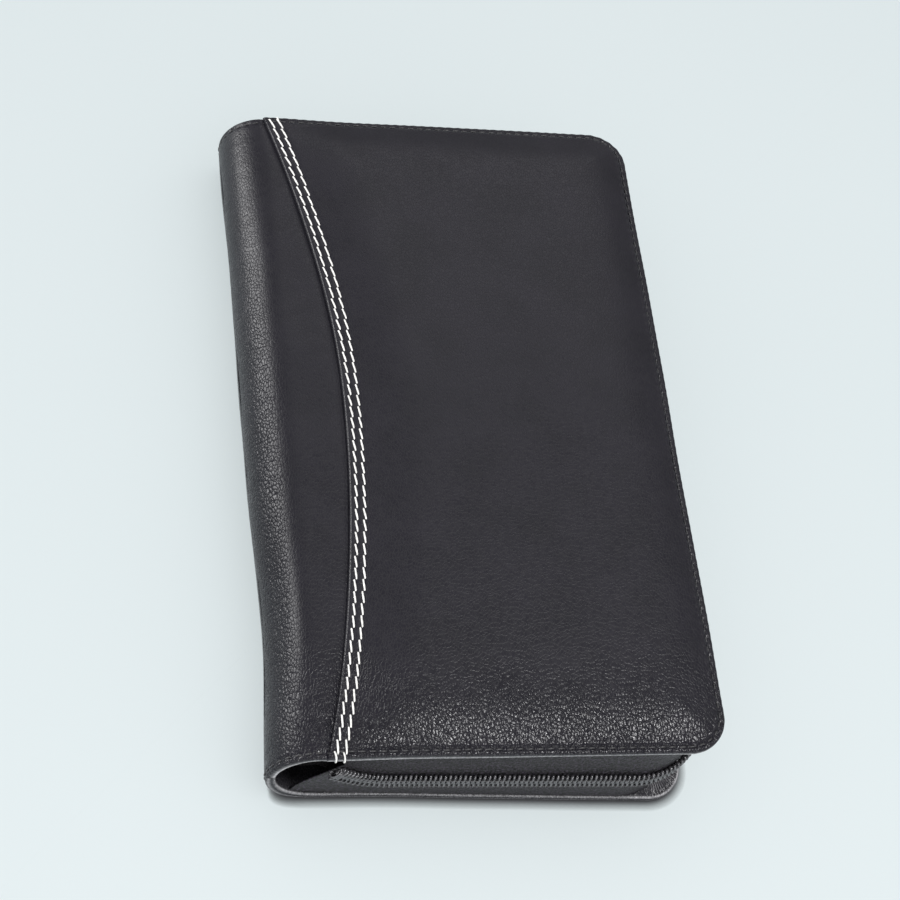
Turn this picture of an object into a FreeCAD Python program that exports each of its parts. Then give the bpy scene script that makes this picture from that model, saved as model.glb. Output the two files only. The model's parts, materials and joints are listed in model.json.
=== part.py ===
"""Zip-round travel document organizer, in millimetres.

The organizer lies closed on its rear cover. +X runs from the spine to the fore-edge, +Y from
the bottom edge to the top edge and +Z up through the front cover. The origin is on the resting
face, below the middle of the closed case.

Each cover is modelled in its own frame (u, v, w): u runs from the fold to the fore-edge, v
along the spine, and w inward from the outer leather face. rear() and front() place it.
"""
import FreeCAD
import Part
import math
import os

V = FreeCAD.Vector

# Overall
HEIGHT = 228.0
SPINE_RADIUS = 14.5
SPINE_X = -53.0
TILT = 4.5
REAR_LENGTH = 120.25
FRONT_LENGTH = 121.5
CORNER_RADIUS = 12.5
CLOSED_TOP = 60.0

# Layers of a cover, from the outer face inward
LEATHER = 1.2
FOAM = 1.0
BOARD = 0.8
TURN_IN = 0.8
TAPE_FOOT = 0.5
LINING = 0.6
FOAM_TOP = LEATHER + FOAM
BOARD_TOP = FOAM_TOP + BOARD
TURN_IN_TOP = BOARD_TOP + TURN_IN
FOOT_TOP = TURN_IN_TOP + TAPE_FOOT
COVER = FOOT_TOP + LINING
TURN_IN_WIDTH = 6.0
FOOT_WIDTH = 5.5
CORE_CLEARANCE = 0.1
SPINE_LINING = 0.8
LINING_END = 0.8

# Folds: the spine turns through half of the opening at each of its two fold lines
ARC_TURN = 180.0 - TILT
FOLD_TURN = ARC_TURN / 2
REAR_FOLD_ANGLE = 270.0 - ARC_TURN / 4
FRONT_FOLD_ANGLE = 270.0 - 3 * ARC_TURN / 4
FOLD_GAP = 0.3

# Curved seam between the spine leather and the front panel, and its two rows of stitches.
# The seam is one arc, a little further from the fold at the bottom edge than at the top.
SEAM_BOTTOM_U = 0.2
SEAM_MID_U = 14.5
SEAM_TOP_U = -2.9
STITCH_ROWS = {"seam_stitches_inner": 2.0, "seam_stitches_outer": 4.6}
STITCH_PITCH = 4.0
STITCH_LENGTH = 3.1
STITCH_WIDTH = 0.8
STITCH_HEIGHT = 0.5
STITCH_LIFT = 0.02
STITCH_SLANT = 8.0
STITCH_MARGIN = 2.5

# Zip: the chain runs round three sides, on a plan outline with its own corner radius
ZIP_CORNER = 24.0
TAPE = 0.6
COIL_THICKNESS = 2.0
HALF_CHAIN = 3.6
CHAIN_SLIT = 0.5
CHAIN_SLOPE = TILT / 2
CHAIN_HEIGHT = 16.6
RISE_START_X = -32.0
RISE_RADIUS = 28.0
BOTTOM_END_X = -49.5
TOP_END_X = -40.5
STOP_LENGTH = 2.4
STOP_PROUD = 0.4

# Slider and pull, built on the chain: s along the chain, n outward from the tape, t across
SLIDER_X = -37.6
SLIDER_LENGTH = 10.0
SLIDER_HALF_WIDTH = 5.2
PLATE = 1.2
PLATE_CLEARANCE = 0.2
FLANGE = 1.1
NECK = 0.6
NECK_LENGTH = 1.8
BRIDGE_LENGTH = 7.0
BRIDGE_WIDTH = 2.2
BRIDGE_HEIGHT = 2.6
BRIDGE_BAR = 0.7
BRIDGE_POST = 1.0
PIN_RADIUS = 0.6
ARM_RADIUS = 0.75
ARM_INNER = 1.35
ARM_OUTER = 2.5
PULL_ROOT = 4.4
PULL_LENGTH = 29.0
PULL_WIDTH = 7.0
PULL_NECK = 5.0
PULL_THICKNESS = 1.2
PULL_HOLE = 1.6

# Pockets and loop inside
POCKET_PANEL = 1.0
POCKET_WALL = 1.5
TICKET_GAP = 4.6
TICKET_U = (15.0, 113.0)
TICKET_V = (-105.0, 46.0)
PASSPORT_GAP = 6.0
PASSPORT_U = (14.0, 112.0)
PASSPORT_V = (-105.0, 0.0)
CARD_U = (15.0, 111.0)
CARD_V = 6.0
CARD_DEPTH = 54.0
CARD_STEP = 12.0
CARD_STRIP = 0.7
CARD_SLOTS = 4
PEN_LOOP_RADIUS = 5.8
PEN_LOOP_WALL = 0.8
PEN_LOOP_LENGTH = 26.0
PEN_LOOP_U = 7.2
PEN_LOOP_TAB = 11.0


def save(name, shape):
    """Writes one node and checks that every solid in it is closed and valid."""
    for solid in shape.Solids:
        assert solid.isValid() and solid.isClosed() and solid.Volume > 0, name
    shape.exportStep(f"parts/{name}.step")
    print(f"{name:24s} solids {len(shape.Solids):3d}  volume {shape.Volume:10.1f} mm3")


def rear(shape):
    """Places a cover shape as the rear cover."""
    placed = shape.copy()
    placed.translate(V(SPINE_X, 0, 0))
    return placed


def front(shape):
    """Places a cover shape as the front cover: turned over and tilted up from the spine."""
    placed = shape.mirror(V(0, 0, 0), V(0, 0, 1))
    placed.rotate(V(0, 0, 0), V(0, 1, 0), -TILT)
    tilt = math.radians(TILT)
    top_x = SPINE_X - SPINE_RADIUS * math.sin(tilt)
    top_z = SPINE_RADIUS * (1 + math.cos(tilt))
    placed.translate(V(top_x, 0, top_z))
    return placed


def box(x, y, z):
    """A box from three (low, high) pairs."""
    size = [high - low for low, high in (x, y, z)]
    return Part.makeBox(*size, V(x[0], y[0], z[0]))


def outline_slab(start, end, half, radius, low, high):
    """A slab with round corners at its far end and square ones at its start."""
    points = {
        "start_low": V(start, -half, low), "start_high": V(start, half, low),
        "low_a": V(end - radius, -half, low), "low_b": V(end, radius - half, low),
        "high_a": V(end, half - radius, low), "high_b": V(end - radius, half, low),
    }
    lean = radius * (1 - math.sqrt(0.5))
    low_mid = V(end - lean, lean - half, low)
    high_mid = V(end - lean, half - lean, low)
    edges = [
        Part.LineSegment(points["start_low"], points["low_a"]),
        Part.Arc(points["low_a"], low_mid, points["low_b"]),
        Part.LineSegment(points["low_b"], points["high_a"]),
        Part.Arc(points["high_a"], high_mid, points["high_b"]),
        Part.LineSegment(points["high_b"], points["start_high"]),
        Part.LineSegment(points["start_high"], points["start_low"]),
    ]
    wire = Part.Wire([edge.toShape() for edge in edges])
    return Part.Face(wire).extrude(V(0, 0, high - low))


def cover_slab(length, inset, low, high, start=0.0, radius=CORNER_RADIUS):
    """A slab inside a cover's outline, inset from its three free edges."""
    return outline_slab(start, length - inset, HEIGHT / 2 - inset, radius - inset, low, high)


def fold_arc(outer, inner, first, last):
    """A stretch of the rounded spine between two angles, about the spine's axis."""
    centre = V(0, 0, SPINE_RADIUS)

    def at(radius, angle):
        turn = math.radians(angle)
        return centre + V(radius * math.cos(turn), 0, radius * math.sin(turn))

    middle = (first + last) / 2
    edges = [
        Part.Arc(at(outer, first), at(outer, middle), at(outer, last)),
        Part.LineSegment(at(outer, last), at(inner, last)),
        Part.Arc(at(inner, last), at(inner, middle), at(inner, first)),
        Part.LineSegment(at(inner, first), at(outer, first)),
    ]
    wire = Part.Wire([edge.toShape() for edge in edges])
    face = Part.Face(wire)
    face.translate(V(0, -HEIGHT / 2, 0))
    return face.extrude(V(0, HEIGHT, 0))


def gap_angle(radius):
    """Half of the gap left at a fold line, as an angle at that radius."""
    return math.degrees(FOLD_GAP / 2 / radius)


def leather_tray(length):
    """Outer skin, turned round the three free edges and back over the board, and the fold."""
    tray = cover_slab(length, 0, 0, TURN_IN_TOP)
    core = cover_slab(length, LEATHER, LEATHER, BOARD_TOP, start=-1)
    mouth = cover_slab(length, TURN_IN_WIDTH, BOARD_TOP, TURN_IN_TOP + 1, start=-1)
    tray = tray.cut(core).cut(mouth)
    fold = fold_arc(SPINE_RADIUS, SPINE_RADIUS - LEATHER, 270, REAR_FOLD_ANGLE + gap_angle(SPINE_RADIUS))
    return tray.fuse(fold).removeSplitter()


def core_layer(length, low, high):
    """Foam or board, inside the leather and clear of the lining's end."""
    inset = LEATHER + CORE_CLEARANCE
    return cover_slab(length, inset, low, high, start=LINING_END + CORE_CLEARANCE)


def lining(length):
    """Inner lining: fills the turn-in's mouth, covers the zip tape's foot, and enters the fold."""
    middle = cover_slab(length, TURN_IN_WIDTH + CORE_CLEARANCE, BOARD_TOP, FOOT_TOP)
    foot_hole = FOOT_WIDTH + TAPE + CORE_CLEARANCE
    middle = middle.common(cover_slab(length, foot_hole, 0, CLOSED_TOP, radius=ZIP_CORNER))
    top = cover_slab(length, TAPE + CORE_CLEARANCE, FOOT_TOP, COVER, radius=ZIP_CORNER)
    inner = HEIGHT / 2 - foot_hole
    end = box((0, LINING_END), (-inner, inner), (LEATHER, FOOT_TOP))
    outer = SPINE_RADIUS - LEATHER
    fold = fold_arc(outer, outer - SPINE_LINING, 270, REAR_FOLD_ANGLE + gap_angle(outer))
    return middle.fuse([top, end, fold]).removeSplitter()


def seam_circle():
    """The circle that the seam lies on, in the plane of the front panel."""
    half = HEIGHT / 2
    points = (V(SEAM_BOTTOM_U, -half, 0), V(SEAM_MID_U, 0, 0), V(SEAM_TOP_U, half, 0))
    circle = Part.Arc(*points).toShape().Curve
    return circle.Center, circle.Radius


def seam_side():
    """Everything on the spine side of the curved seam, as a prism."""
    half = HEIGHT / 2 + 1
    centre, radius = seam_circle()

    def on_seam(v):
        return V(centre.x + math.sqrt(radius ** 2 - (v - centre.y) ** 2), v, -1)

    far = -2 * SPINE_RADIUS
    low, high = on_seam(-half), on_seam(half)
    edges = [
        Part.Arc(low, on_seam(0), high),
        Part.LineSegment(high, V(far, half, -1)),
        Part.LineSegment(V(far, half, -1), V(far, -half, -1)),
        Part.LineSegment(V(far, -half, -1), low),
    ]
    wire = Part.Wire([edge.toShape() for edge in edges])
    return Part.Face(wire).extrude(V(0, 0, SPINE_RADIUS + 1))


def stitch_row(offset):
    """Separate stitches along the seam, each lying slightly across the row.

    Past the fold the row follows the rounded spine, so those stitches turn about its axis.
    """
    centre, seam_radius = seam_circle()
    radius = seam_radius + offset
    reach = HEIGHT / 2 - STITCH_MARGIN
    first = math.asin((-reach - centre.y) / radius)
    last = math.asin((reach - centre.y) / radius)
    count = int((last - first) * radius / STITCH_PITCH)
    step = (last - first) / count
    stitches = []
    for index in range(count):
        angle = first + (index + 0.5) * step
        stitch = box(
            (-STITCH_WIDTH / 2, STITCH_WIDTH / 2),
            (-STITCH_LENGTH / 2, STITCH_LENGTH / 2),
            (-STITCH_LIFT - STITCH_HEIGHT, -STITCH_LIFT),
        )
        stitch.rotate(V(0, 0, 0), V(0, 0, 1), math.degrees(angle) + STITCH_SLANT)
        u = centre.x + radius * math.cos(angle)
        stitch.translate(V(max(u, 0), centre.y + radius * math.sin(angle), 0))
        if u < 0:
            stitch.rotate(V(0, 0, SPINE_RADIUS), V(0, 1, 0), math.degrees(-u / SPINE_RADIUS))
        stitches.append(stitch)
    return Part.makeCompound(stitches)


def spine_shells():
    """The middle of the spine between the two fold lines: leather outside, lining inside."""
    shells = []
    for outer, thickness in ((SPINE_RADIUS, LEATHER), (SPINE_RADIUS - LEATHER, SPINE_LINING)):
        trim = gap_angle(outer)
        shell = fold_arc(outer, outer - thickness, REAR_FOLD_ANGLE - trim, FRONT_FOLD_ANGLE + trim)
        shells.append(rear(shell))
    return shells


def chain_height(x):
    """Height of the chain's middle on its straight run."""
    return CHAIN_HEIGHT + x * math.tan(math.radians(CHAIN_SLOPE))


def chain_line(offset, rising):
    """The chain's middle line in the XZ plane, moved across by an offset, from the spine out.

    The bottom arm rises in an arc to the front cover at the spine; the top arm stays straight.
    """
    slope = math.radians(CHAIN_SLOPE)
    across = V(-math.sin(slope), 0, math.cos(slope))
    far_x = SPINE_X + REAR_LENGTH + 10
    far = V(far_x, 0, chain_height(far_x)) + across * offset
    if not rising:
        near = V(TOP_END_X, 0, chain_height(TOP_END_X)) + across * offset
        return [Part.LineSegment(near, far).toShape()], near, far
    start = V(RISE_START_X, 0, chain_height(RISE_START_X))
    centre = start + across * RISE_RADIUS
    turn = math.asin((RISE_START_X - BOTTOM_END_X) / RISE_RADIUS)
    points = []
    for share in (0, 0.5, 1):
        angle = math.radians(270) + slope - share * turn
        radius = RISE_RADIUS - offset
        points.append(centre + V(radius * math.cos(angle), 0, radius * math.sin(angle)))
    arc = Part.Arc(points[2], points[1], points[0])
    line = Part.LineSegment(points[0], far)
    return [arc.toShape(), line.toShape()], points[2], far


def between(low_offset, high_offset, rising):
    """The region between two offset chain lines, as a prism across the whole case."""
    low_edges, low_near, low_far = chain_line(low_offset, rising)
    high_edges, high_near, high_far = chain_line(high_offset, rising)
    ends = [Part.LineSegment(low_near, high_near).toShape(), Part.LineSegment(low_far, high_far).toShape()]
    wire = Part.Wire(Part.__sortEdges__(low_edges + high_edges + ends))
    return across_case(Part.Face(wire), rising)


def beyond(offset, limit, rising):
    """The region from an offset chain line straight to a height limit, as a prism."""
    edges, near, far = chain_line(offset, rising)
    corners = [near, V(near.x, 0, limit), V(far.x, 0, limit), far]
    for a, b in zip(corners, corners[1:]):
        edges.append(Part.LineSegment(a, b).toShape())
    wire = Part.Wire(Part.__sortEdges__(edges))
    return across_case(Part.Face(wire), rising)


def across_case(face, rising):
    """Extrudes an XZ face over the bottom half (rising arm) or the top half of the case."""
    reach = HEIGHT / 2 + 10
    if rising:
        face.translate(V(0, -reach, 0))
    return face.extrude(V(0, reach, 0))


def both_arms(region, *limits):
    """A region over both arms of the zip, each with its own end at the spine."""
    return region(*limits, True).fuse(region(*limits, False)).removeSplitter()


def zip_band(outer_inset, inner_inset):
    """A tall wall round three sides, between two insets from the rear cover's outline."""
    end_x = SPINE_X + REAR_LENGTH
    solids = []
    for inset, start in ((outer_inset, BOTTOM_END_X - 5), (inner_inset, BOTTOM_END_X - 10)):
        slab = outline_slab(start, end_x - inset, HEIGHT / 2 - inset, ZIP_CORNER - inset, 0, CLOSED_TOP)
        solids.append(slab)
    return solids[0].cut(solids[1])


def tape_foot(length, place):
    """The flat foot of a zip tape, sewn between the turned leather and the lining."""
    start = BOTTOM_END_X - SPINE_X
    foot = cover_slab(length, 0, TURN_IN_TOP, FOOT_TOP, start=start, radius=ZIP_CORNER)
    hole = cover_slab(length, FOOT_WIDTH + TAPE, 0, CLOSED_TOP, start=start - 1, radius=ZIP_CORNER)
    return place(foot.cut(hole))


def inside_cover(place, length):
    """All the room on the inner side of a cover's turned leather."""
    half = HEIGHT
    return place(box((-length, 2 * length), (-half, half), (TURN_IN_TOP, CLOSED_TOP)))


def zip_halves():
    """Tape and coil of each half of the zip, parted by a slit along the chain's middle."""
    wall = zip_band(0, TAPE)
    coil_wall = zip_band(-COIL_THICKNESS, 0)
    tapes = []
    for side, place, length, limit in (
        (-1, rear, REAR_LENGTH, 0.0),
        (1, front, FRONT_LENGTH, CLOSED_TOP),
    ):
        region = both_arms(beyond, side * CHAIN_SLIT, limit)
        tape = wall.common(region).common(inside_cover(place, length))
        tapes.append(tape.fuse(tape_foot(length, place)).removeSplitter())
    rear_coil = coil_wall.common(both_arms(between, -HALF_CHAIN, -CHAIN_SLIT))
    front_coil = coil_wall.common(both_arms(between, CHAIN_SLIT, HALF_CHAIN))
    return {
        "rear_zip_tape": tapes[0],
        "front_zip_tape": tapes[1],
        "rear_zip_coil": rear_coil,
        "front_zip_coil": front_coil,
    }


def on_chain(shape, x):
    """Places a shape built on (s, n, t) axes on the top arm of the chain."""
    placed = shape.copy()
    placed.rotate(V(0, 0, 0), V(0, 1, 0), -CHAIN_SLOPE)
    placed.translate(V(x, HEIGHT / 2, chain_height(x)))
    return placed


def stops():
    """Metal stops at the ends of the chain: one across the start, one on each half at the end."""
    height = (0.0, COIL_THICKNESS + STOP_PROUD)
    end = (TOP_END_X - SLIDER_X - STOP_LENGTH, TOP_END_X - SLIDER_X)
    rear_stop = box(end, height, (-HALF_CHAIN, -CHAIN_SLIT))
    front_stop = box(end, height, (CHAIN_SLIT, HALF_CHAIN))
    slope = math.radians(CHAIN_SLOPE)
    turn = math.asin((RISE_START_X - BOTTOM_END_X) / RISE_RADIUS)
    across = V(-math.sin(slope), 0, math.cos(slope))
    centre = V(RISE_START_X, 0, chain_height(RISE_START_X)) + across * RISE_RADIUS
    start = box((-STOP_LENGTH, 0), (-height[1], 0), (-HALF_CHAIN, -CHAIN_SLIT))
    start.translate(V(0, 0, -RISE_RADIUS))
    start.rotate(V(0, 0, 0), V(0, 1, 0), math.degrees(turn - slope))
    start.translate(centre + V(0, -HEIGHT / 2, 0))
    return {
        "zip_start_stop": start,
        "rear_zip_end_stop": on_chain(rear_stop, SLIDER_X),
        "front_zip_end_stop": on_chain(front_stop, SLIDER_X),
    }


def slider_body():
    """Two plates on a thin neck, with a flange that hooks the rear half of the coil."""
    half = SLIDER_LENGTH / 2
    outer_low = COIL_THICKNESS + STOP_PROUD + PLATE_CLEARANCE
    inner_high = -TAPE - PLATE_CLEARANCE
    width = (-SLIDER_HALF_WIDTH, SLIDER_HALF_WIDTH)
    plates = []
    for low in (outer_low, inner_high - PLATE):
        plate = box((-half, half), (low, low + PLATE), width)
        corners = [edge for edge in plate.Edges if abs(edge.tangentAt(edge.FirstParameter).y) > 0.9]
        plates.append(plate.makeFillet(2.4, corners))
    neck = box((-half, -half + NECK_LENGTH), (inner_high - PLATE / 2, outer_low + PLATE / 2), (-NECK / 2, NECK / 2))
    flange_top = outer_low + PLATE / 2
    flange = box(
        (2.5 - half, half - 2.5),
        (PLATE_CLEARANCE, flange_top),
        (-SLIDER_HALF_WIDTH, FLANGE - SLIDER_HALF_WIDTH),
    )
    return plates[0].fuse([plates[1], neck, flange]).removeSplitter(), outer_low + PLATE


def slider_bridge(seat):
    """The arch on the slider that the pull hangs from."""
    half = BRIDGE_LENGTH / 2
    across = (-BRIDGE_WIDTH / 2, BRIDGE_WIDTH / 2)
    arch = box((-half, half), (seat, seat + BRIDGE_HEIGHT), across)
    top_edges = [
        edge for edge in arch.Edges
        if abs(edge.tangentAt(edge.FirstParameter).z) > 0.9 and edge.CenterOfMass.y > seat + BRIDGE_HEIGHT / 2
    ]
    arch = arch.makeFillet(1.1, top_edges)
    hole = box(
        (BRIDGE_POST - half, half - BRIDGE_POST),
        (seat, seat + BRIDGE_HEIGHT - BRIDGE_BAR),
        across,
    )
    return arch.cut(hole)


def pull(axis_n):
    """The pull: a pin through the bridge, two arms beside it, and a long tab with a hole."""
    axis = V(0, axis_n, 0)
    pin = Part.makeCylinder(PIN_RADIUS, 2 * ARM_OUTER, axis + V(0, 0, -ARM_OUTER), V(0, 0, 1))
    arms = []
    for low in (-ARM_OUTER, ARM_INNER):
        eye = Part.makeCylinder(ARM_RADIUS, ARM_OUTER - ARM_INNER, axis + V(0, 0, low), V(0, 0, 1))
        bar = box(
            (0, PULL_ROOT + 1),
            (axis_n - PULL_THICKNESS / 2, axis_n + PULL_THICKNESS / 2),
            (low, low + ARM_OUTER - ARM_INNER),
        )
        arms += [eye, bar]
    neck, wide = PULL_NECK / 2, PULL_WIDTH / 2
    tip = PULL_LENGTH - wide
    back = axis_n - PULL_THICKNESS / 2
    edges = [
        Part.LineSegment(V(PULL_ROOT, back, -neck), V(tip, back, -wide)),
        Part.Arc(V(tip, back, -wide), V(PULL_LENGTH, back, 0), V(tip, back, wide)),
        Part.LineSegment(V(tip, back, wide), V(PULL_ROOT, back, neck)),
        Part.LineSegment(V(PULL_ROOT, back, neck), V(PULL_ROOT, back, -neck)),
    ]
    wire = Part.Wire([edge.toShape() for edge in edges])
    tab = Part.Face(wire).extrude(V(0, PULL_THICKNESS, 0))
    hole = Part.makeCylinder(PULL_HOLE, 2 * PULL_THICKNESS, V(tip, back - 0.5, 0), V(0, 1, 0))
    return pin.fuse(arms + [tab.cut(hole)]).removeSplitter()


def gusset_pocket(u, v, gap):
    """A pocket with an open top edge: a panel held off the lining by walls on three sides."""
    panel_low = COVER + gap
    panel = box(u, v, (panel_low, panel_low + POCKET_PANEL))
    height = (COVER, panel_low)
    walls = [
        box((u[0], u[0] + POCKET_WALL), v, height),
        box((u[1] - POCKET_WALL, u[1]), v, height),
        box(u, (v[0], v[0] + POCKET_WALL), height),
    ]
    return panel.fuse(walls).removeSplitter()


def card_slot(index):
    """One flat card pocket. The lowest strip lies on top of the others."""
    layer = CARD_SLOTS - 1 - index
    low = COVER + layer * CARD_STRIP
    return box(CARD_U, (CARD_V, CARD_V + CARD_DEPTH + index * CARD_STEP), (low, low + CARD_STRIP))


def pen_loop():
    """A tube of elastic on a flat tab, sewn to the lining beside the fold."""
    half = PEN_LOOP_LENGTH / 2
    middle = V(PEN_LOOP_U, -half, COVER + PEN_LOOP_RADIUS)
    tube = Part.makeCylinder(PEN_LOOP_RADIUS, PEN_LOOP_LENGTH, middle, V(0, 1, 0))
    tab = box(
        (PEN_LOOP_U - PEN_LOOP_TAB / 2, PEN_LOOP_U + PEN_LOOP_TAB / 2),
        (-half, half),
        (COVER, COVER + PEN_LOOP_WALL),
    )
    inner = PEN_LOOP_RADIUS - PEN_LOOP_WALL
    bore = Part.makeCylinder(inner, PEN_LOOP_LENGTH, middle, V(0, 1, 0))
    return tube.fuse(tab).cut(bore).removeSplitter()


def main():
    os.makedirs("parts", exist_ok=True)
    for name, place, length in (("rear", rear, REAR_LENGTH), ("front", front, FRONT_LENGTH)):
        save(f"{name}_foam", place(core_layer(length, LEATHER, FOAM_TOP)))
        save(f"{name}_board", place(core_layer(length, FOAM_TOP, BOARD_TOP)))
        save(f"{name}_lining", place(lining(length)))
    save("rear_leather", rear(leather_tray(REAR_LENGTH)))
    front_leather = leather_tray(FRONT_LENGTH)
    save("front_panel", front(front_leather.cut(seam_side())))
    save("front_spine_flap", front(front_leather.common(seam_side())))
    for name, offset in STITCH_ROWS.items():
        save(name, front(stitch_row(offset)))
    for name, shape in zip(("spine_leather", "spine_lining"), spine_shells()):
        save(name, shape)
    for name, shape in {**zip_halves(), **stops()}.items():
        save(name, shape)
    body, seat = slider_body()
    axis_n = seat + ARM_RADIUS + PLATE_CLEARANCE
    save("slider_body", on_chain(body, SLIDER_X))
    save("slider_bridge", on_chain(slider_bridge(seat), SLIDER_X))
    save("zip_pull", on_chain(pull(axis_n), SLIDER_X))
    save("ticket_pocket", rear(gusset_pocket(TICKET_U, TICKET_V, TICKET_GAP)))
    save("passport_pocket", front(gusset_pocket(PASSPORT_U, PASSPORT_V, PASSPORT_GAP)))
    for index in range(CARD_SLOTS):
        save(f"card_slot_{index + 1}", front(card_slot(index)))
    save("pen_loop", rear(pen_loop()))
    print_joint_facts(axis_n)


def print_joint_facts(axis_n):
    """Prints where the fold lines, the slide and the pull's pin lie, for the record."""
    for name, angle in (("rear fold", REAR_FOLD_ANGLE), ("front fold", FRONT_FOLD_ANGLE)):
        turn = math.radians(angle)
        x = SPINE_X + SPINE_RADIUS * math.cos(turn)
        z = SPINE_RADIUS * (1 + math.sin(turn))
        print(f"{name} line at x {x:.4f} z {z:.4f}, turns {FOLD_TURN} degrees")
    slope = math.radians(CHAIN_SLOPE)
    print(f"chain direction {math.cos(slope):.6f} 0 {math.sin(slope):.6f}")
    print(f"pull pin at x {SLIDER_X} y {HEIGHT / 2 + axis_n:.3f} z {chain_height(SLIDER_X):.4f}")
    print(f"cover thickness {COVER:.2f}")


main()
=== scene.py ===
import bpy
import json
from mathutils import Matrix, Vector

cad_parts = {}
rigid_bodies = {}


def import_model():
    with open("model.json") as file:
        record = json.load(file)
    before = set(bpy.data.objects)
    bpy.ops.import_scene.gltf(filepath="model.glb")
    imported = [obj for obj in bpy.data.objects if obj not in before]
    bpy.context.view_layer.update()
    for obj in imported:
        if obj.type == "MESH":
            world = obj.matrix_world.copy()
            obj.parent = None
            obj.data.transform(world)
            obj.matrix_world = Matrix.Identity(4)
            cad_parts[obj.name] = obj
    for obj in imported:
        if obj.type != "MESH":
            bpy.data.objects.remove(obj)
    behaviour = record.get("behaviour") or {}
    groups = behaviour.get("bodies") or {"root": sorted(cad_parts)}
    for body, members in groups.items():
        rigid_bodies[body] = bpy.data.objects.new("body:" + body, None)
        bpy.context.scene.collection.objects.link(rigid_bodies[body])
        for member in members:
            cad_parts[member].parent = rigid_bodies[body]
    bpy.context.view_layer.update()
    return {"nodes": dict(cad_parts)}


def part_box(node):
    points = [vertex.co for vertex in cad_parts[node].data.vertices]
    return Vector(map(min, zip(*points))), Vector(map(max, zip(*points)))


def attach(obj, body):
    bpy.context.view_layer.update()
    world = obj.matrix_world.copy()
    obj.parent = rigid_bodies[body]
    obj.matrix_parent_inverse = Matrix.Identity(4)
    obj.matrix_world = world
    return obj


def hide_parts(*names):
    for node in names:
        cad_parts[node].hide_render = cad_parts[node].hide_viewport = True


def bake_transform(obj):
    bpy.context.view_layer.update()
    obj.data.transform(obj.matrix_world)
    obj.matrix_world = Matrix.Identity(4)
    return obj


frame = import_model()

"""Looks of the zip-round leather travel document organizer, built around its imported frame.

Every soft piece is worked out on the leather laid flat, in millimetres, as (s, v, w): s runs from
the fold to the fore-edge and is negative round the spine, v runs along the spine, and w inward
from the cover's outer face. on_rear() and on_front() wrap such points onto the closed case.
"""
import json
import math

import bpy
import numpy as np
from mathutils import Matrix, Vector

MM = 0.001

# Case. The sizes are the CAD's own. Its height and the rear's length come from its packed box.
HALF_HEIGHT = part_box("rear_leather")[1].y / MM
SPINE_RADIUS = 14.5
SPINE_X = -53.0
TILT = math.radians(4.5)
REAR_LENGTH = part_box("rear_leather")[1].x / MM - SPINE_X
FRONT_LENGTH = REAR_LENGTH + 1.25
CORNER = 12.5
HALF_TURN = (math.pi - TILT) / 2
HALF_SPINE = SPINE_RADIUS * HALF_TURN
FOLD_TURN = HALF_TURN / 2
FRONT_X = SPINE_X - SPINE_RADIUS * math.sin(TILT)
FRONT_Z = SPINE_RADIUS * (1 + math.cos(TILT))
COVER = 4.9

# Leather: how round its edges are, the depths of its layers, its stitches and gathered corners
EDGE = 0.9
COVER_THICK = 3.5
SPINE_THICK = 2.3
FRONT_RIM = (2.7, 1.7)
REAR_RIM = (2.0, 2.0)
TURN_IN = 10.0
CROWN = 3.0
PANEL_LIFT = 0.95
SEAM_POINTS = ((0.2, -HALF_HEIGHT), (14.5, 0.0), (-2.9, HALF_HEIGHT))
SEAM_ROWS = (2.15, 4.6)
EDGE_ROW = 1.8
WHITE_PITCH = 4.0
WHITE_LENGTH = WHITE_PITCH * 1.16
WHITE_RADIUS = 0.29
WHITE_SLANT = 9.0
BLACK_PITCH = 3.1
BLACK_LENGTH = BLACK_PITCH * 0.82
BLACK_RADIUS = 0.26
CORNER_BAND = CORNER * 0.75
CORNER_STEPS = 34
PLEATS = 76
PLEAT_HEIGHT = 0.3

# Lining
LINING_INSET = 2.2
LINING_THICK = 0.6
BARE_LINING = 2.9

# Zip: its line round the case, how it rises at its start, and its coil
ZIP_CORNER = 24.0
CHAIN_SLOPE = TILT / 2
CHAIN_HEIGHT = 16.6
RISE_X = -32.0
RISE_RADIUS = 28.0
START_X = -49.5
END_X = -40.5
COIL_PITCH = 1.5
COIL_WIRE = 0.43
COIL_HEAD = -0.42
COIL_HEEL = 3.3
TAPE_SLIT = 0.42
TAPE_EDGE = 3.5
TAPE_THICK = 0.55


# ---- places

def smooth_step(x, low, high):
    """Rises smoothly from 0 at low to 1 at high."""
    t = np.clip((x - low) / (high - low), 0, 1)
    return t * t * (3 - 2 * t)


def hump(x, width):
    """A bell of height 1 at 0."""
    return np.exp(-((x / width) ** 2))


def round_the_spine(s, w):
    """Across and depth of a point at s and w, wrapped round the spine where s is negative."""
    turn = np.maximum(-s, 0) / SPINE_RADIUS
    reach = SPINE_RADIUS - w
    return np.maximum(s, 0) - reach * np.sin(turn), SPINE_RADIUS - reach * np.cos(turn)


def on_rear(points):
    """Flat leather points wrapped onto the rear cover, in millimetres."""
    across, depth = round_the_spine(points[:, 0], points[:, 2])
    return np.stack([SPINE_X + across, points[:, 1], depth], 1)


def on_front(points):
    """Flat leather points wrapped onto the tilted front cover, in millimetres."""
    across, depth = round_the_spine(points[:, 0], points[:, 2])
    x = FRONT_X + across * math.cos(TILT) + depth * math.sin(TILT)
    z = FRONT_Z + across * math.sin(TILT) - depth * math.cos(TILT)
    return np.stack([x, points[:, 1], z], 1)


def as_it_is(points):
    """Points that are already in the case's own frame, in millimetres."""
    return points


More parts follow.
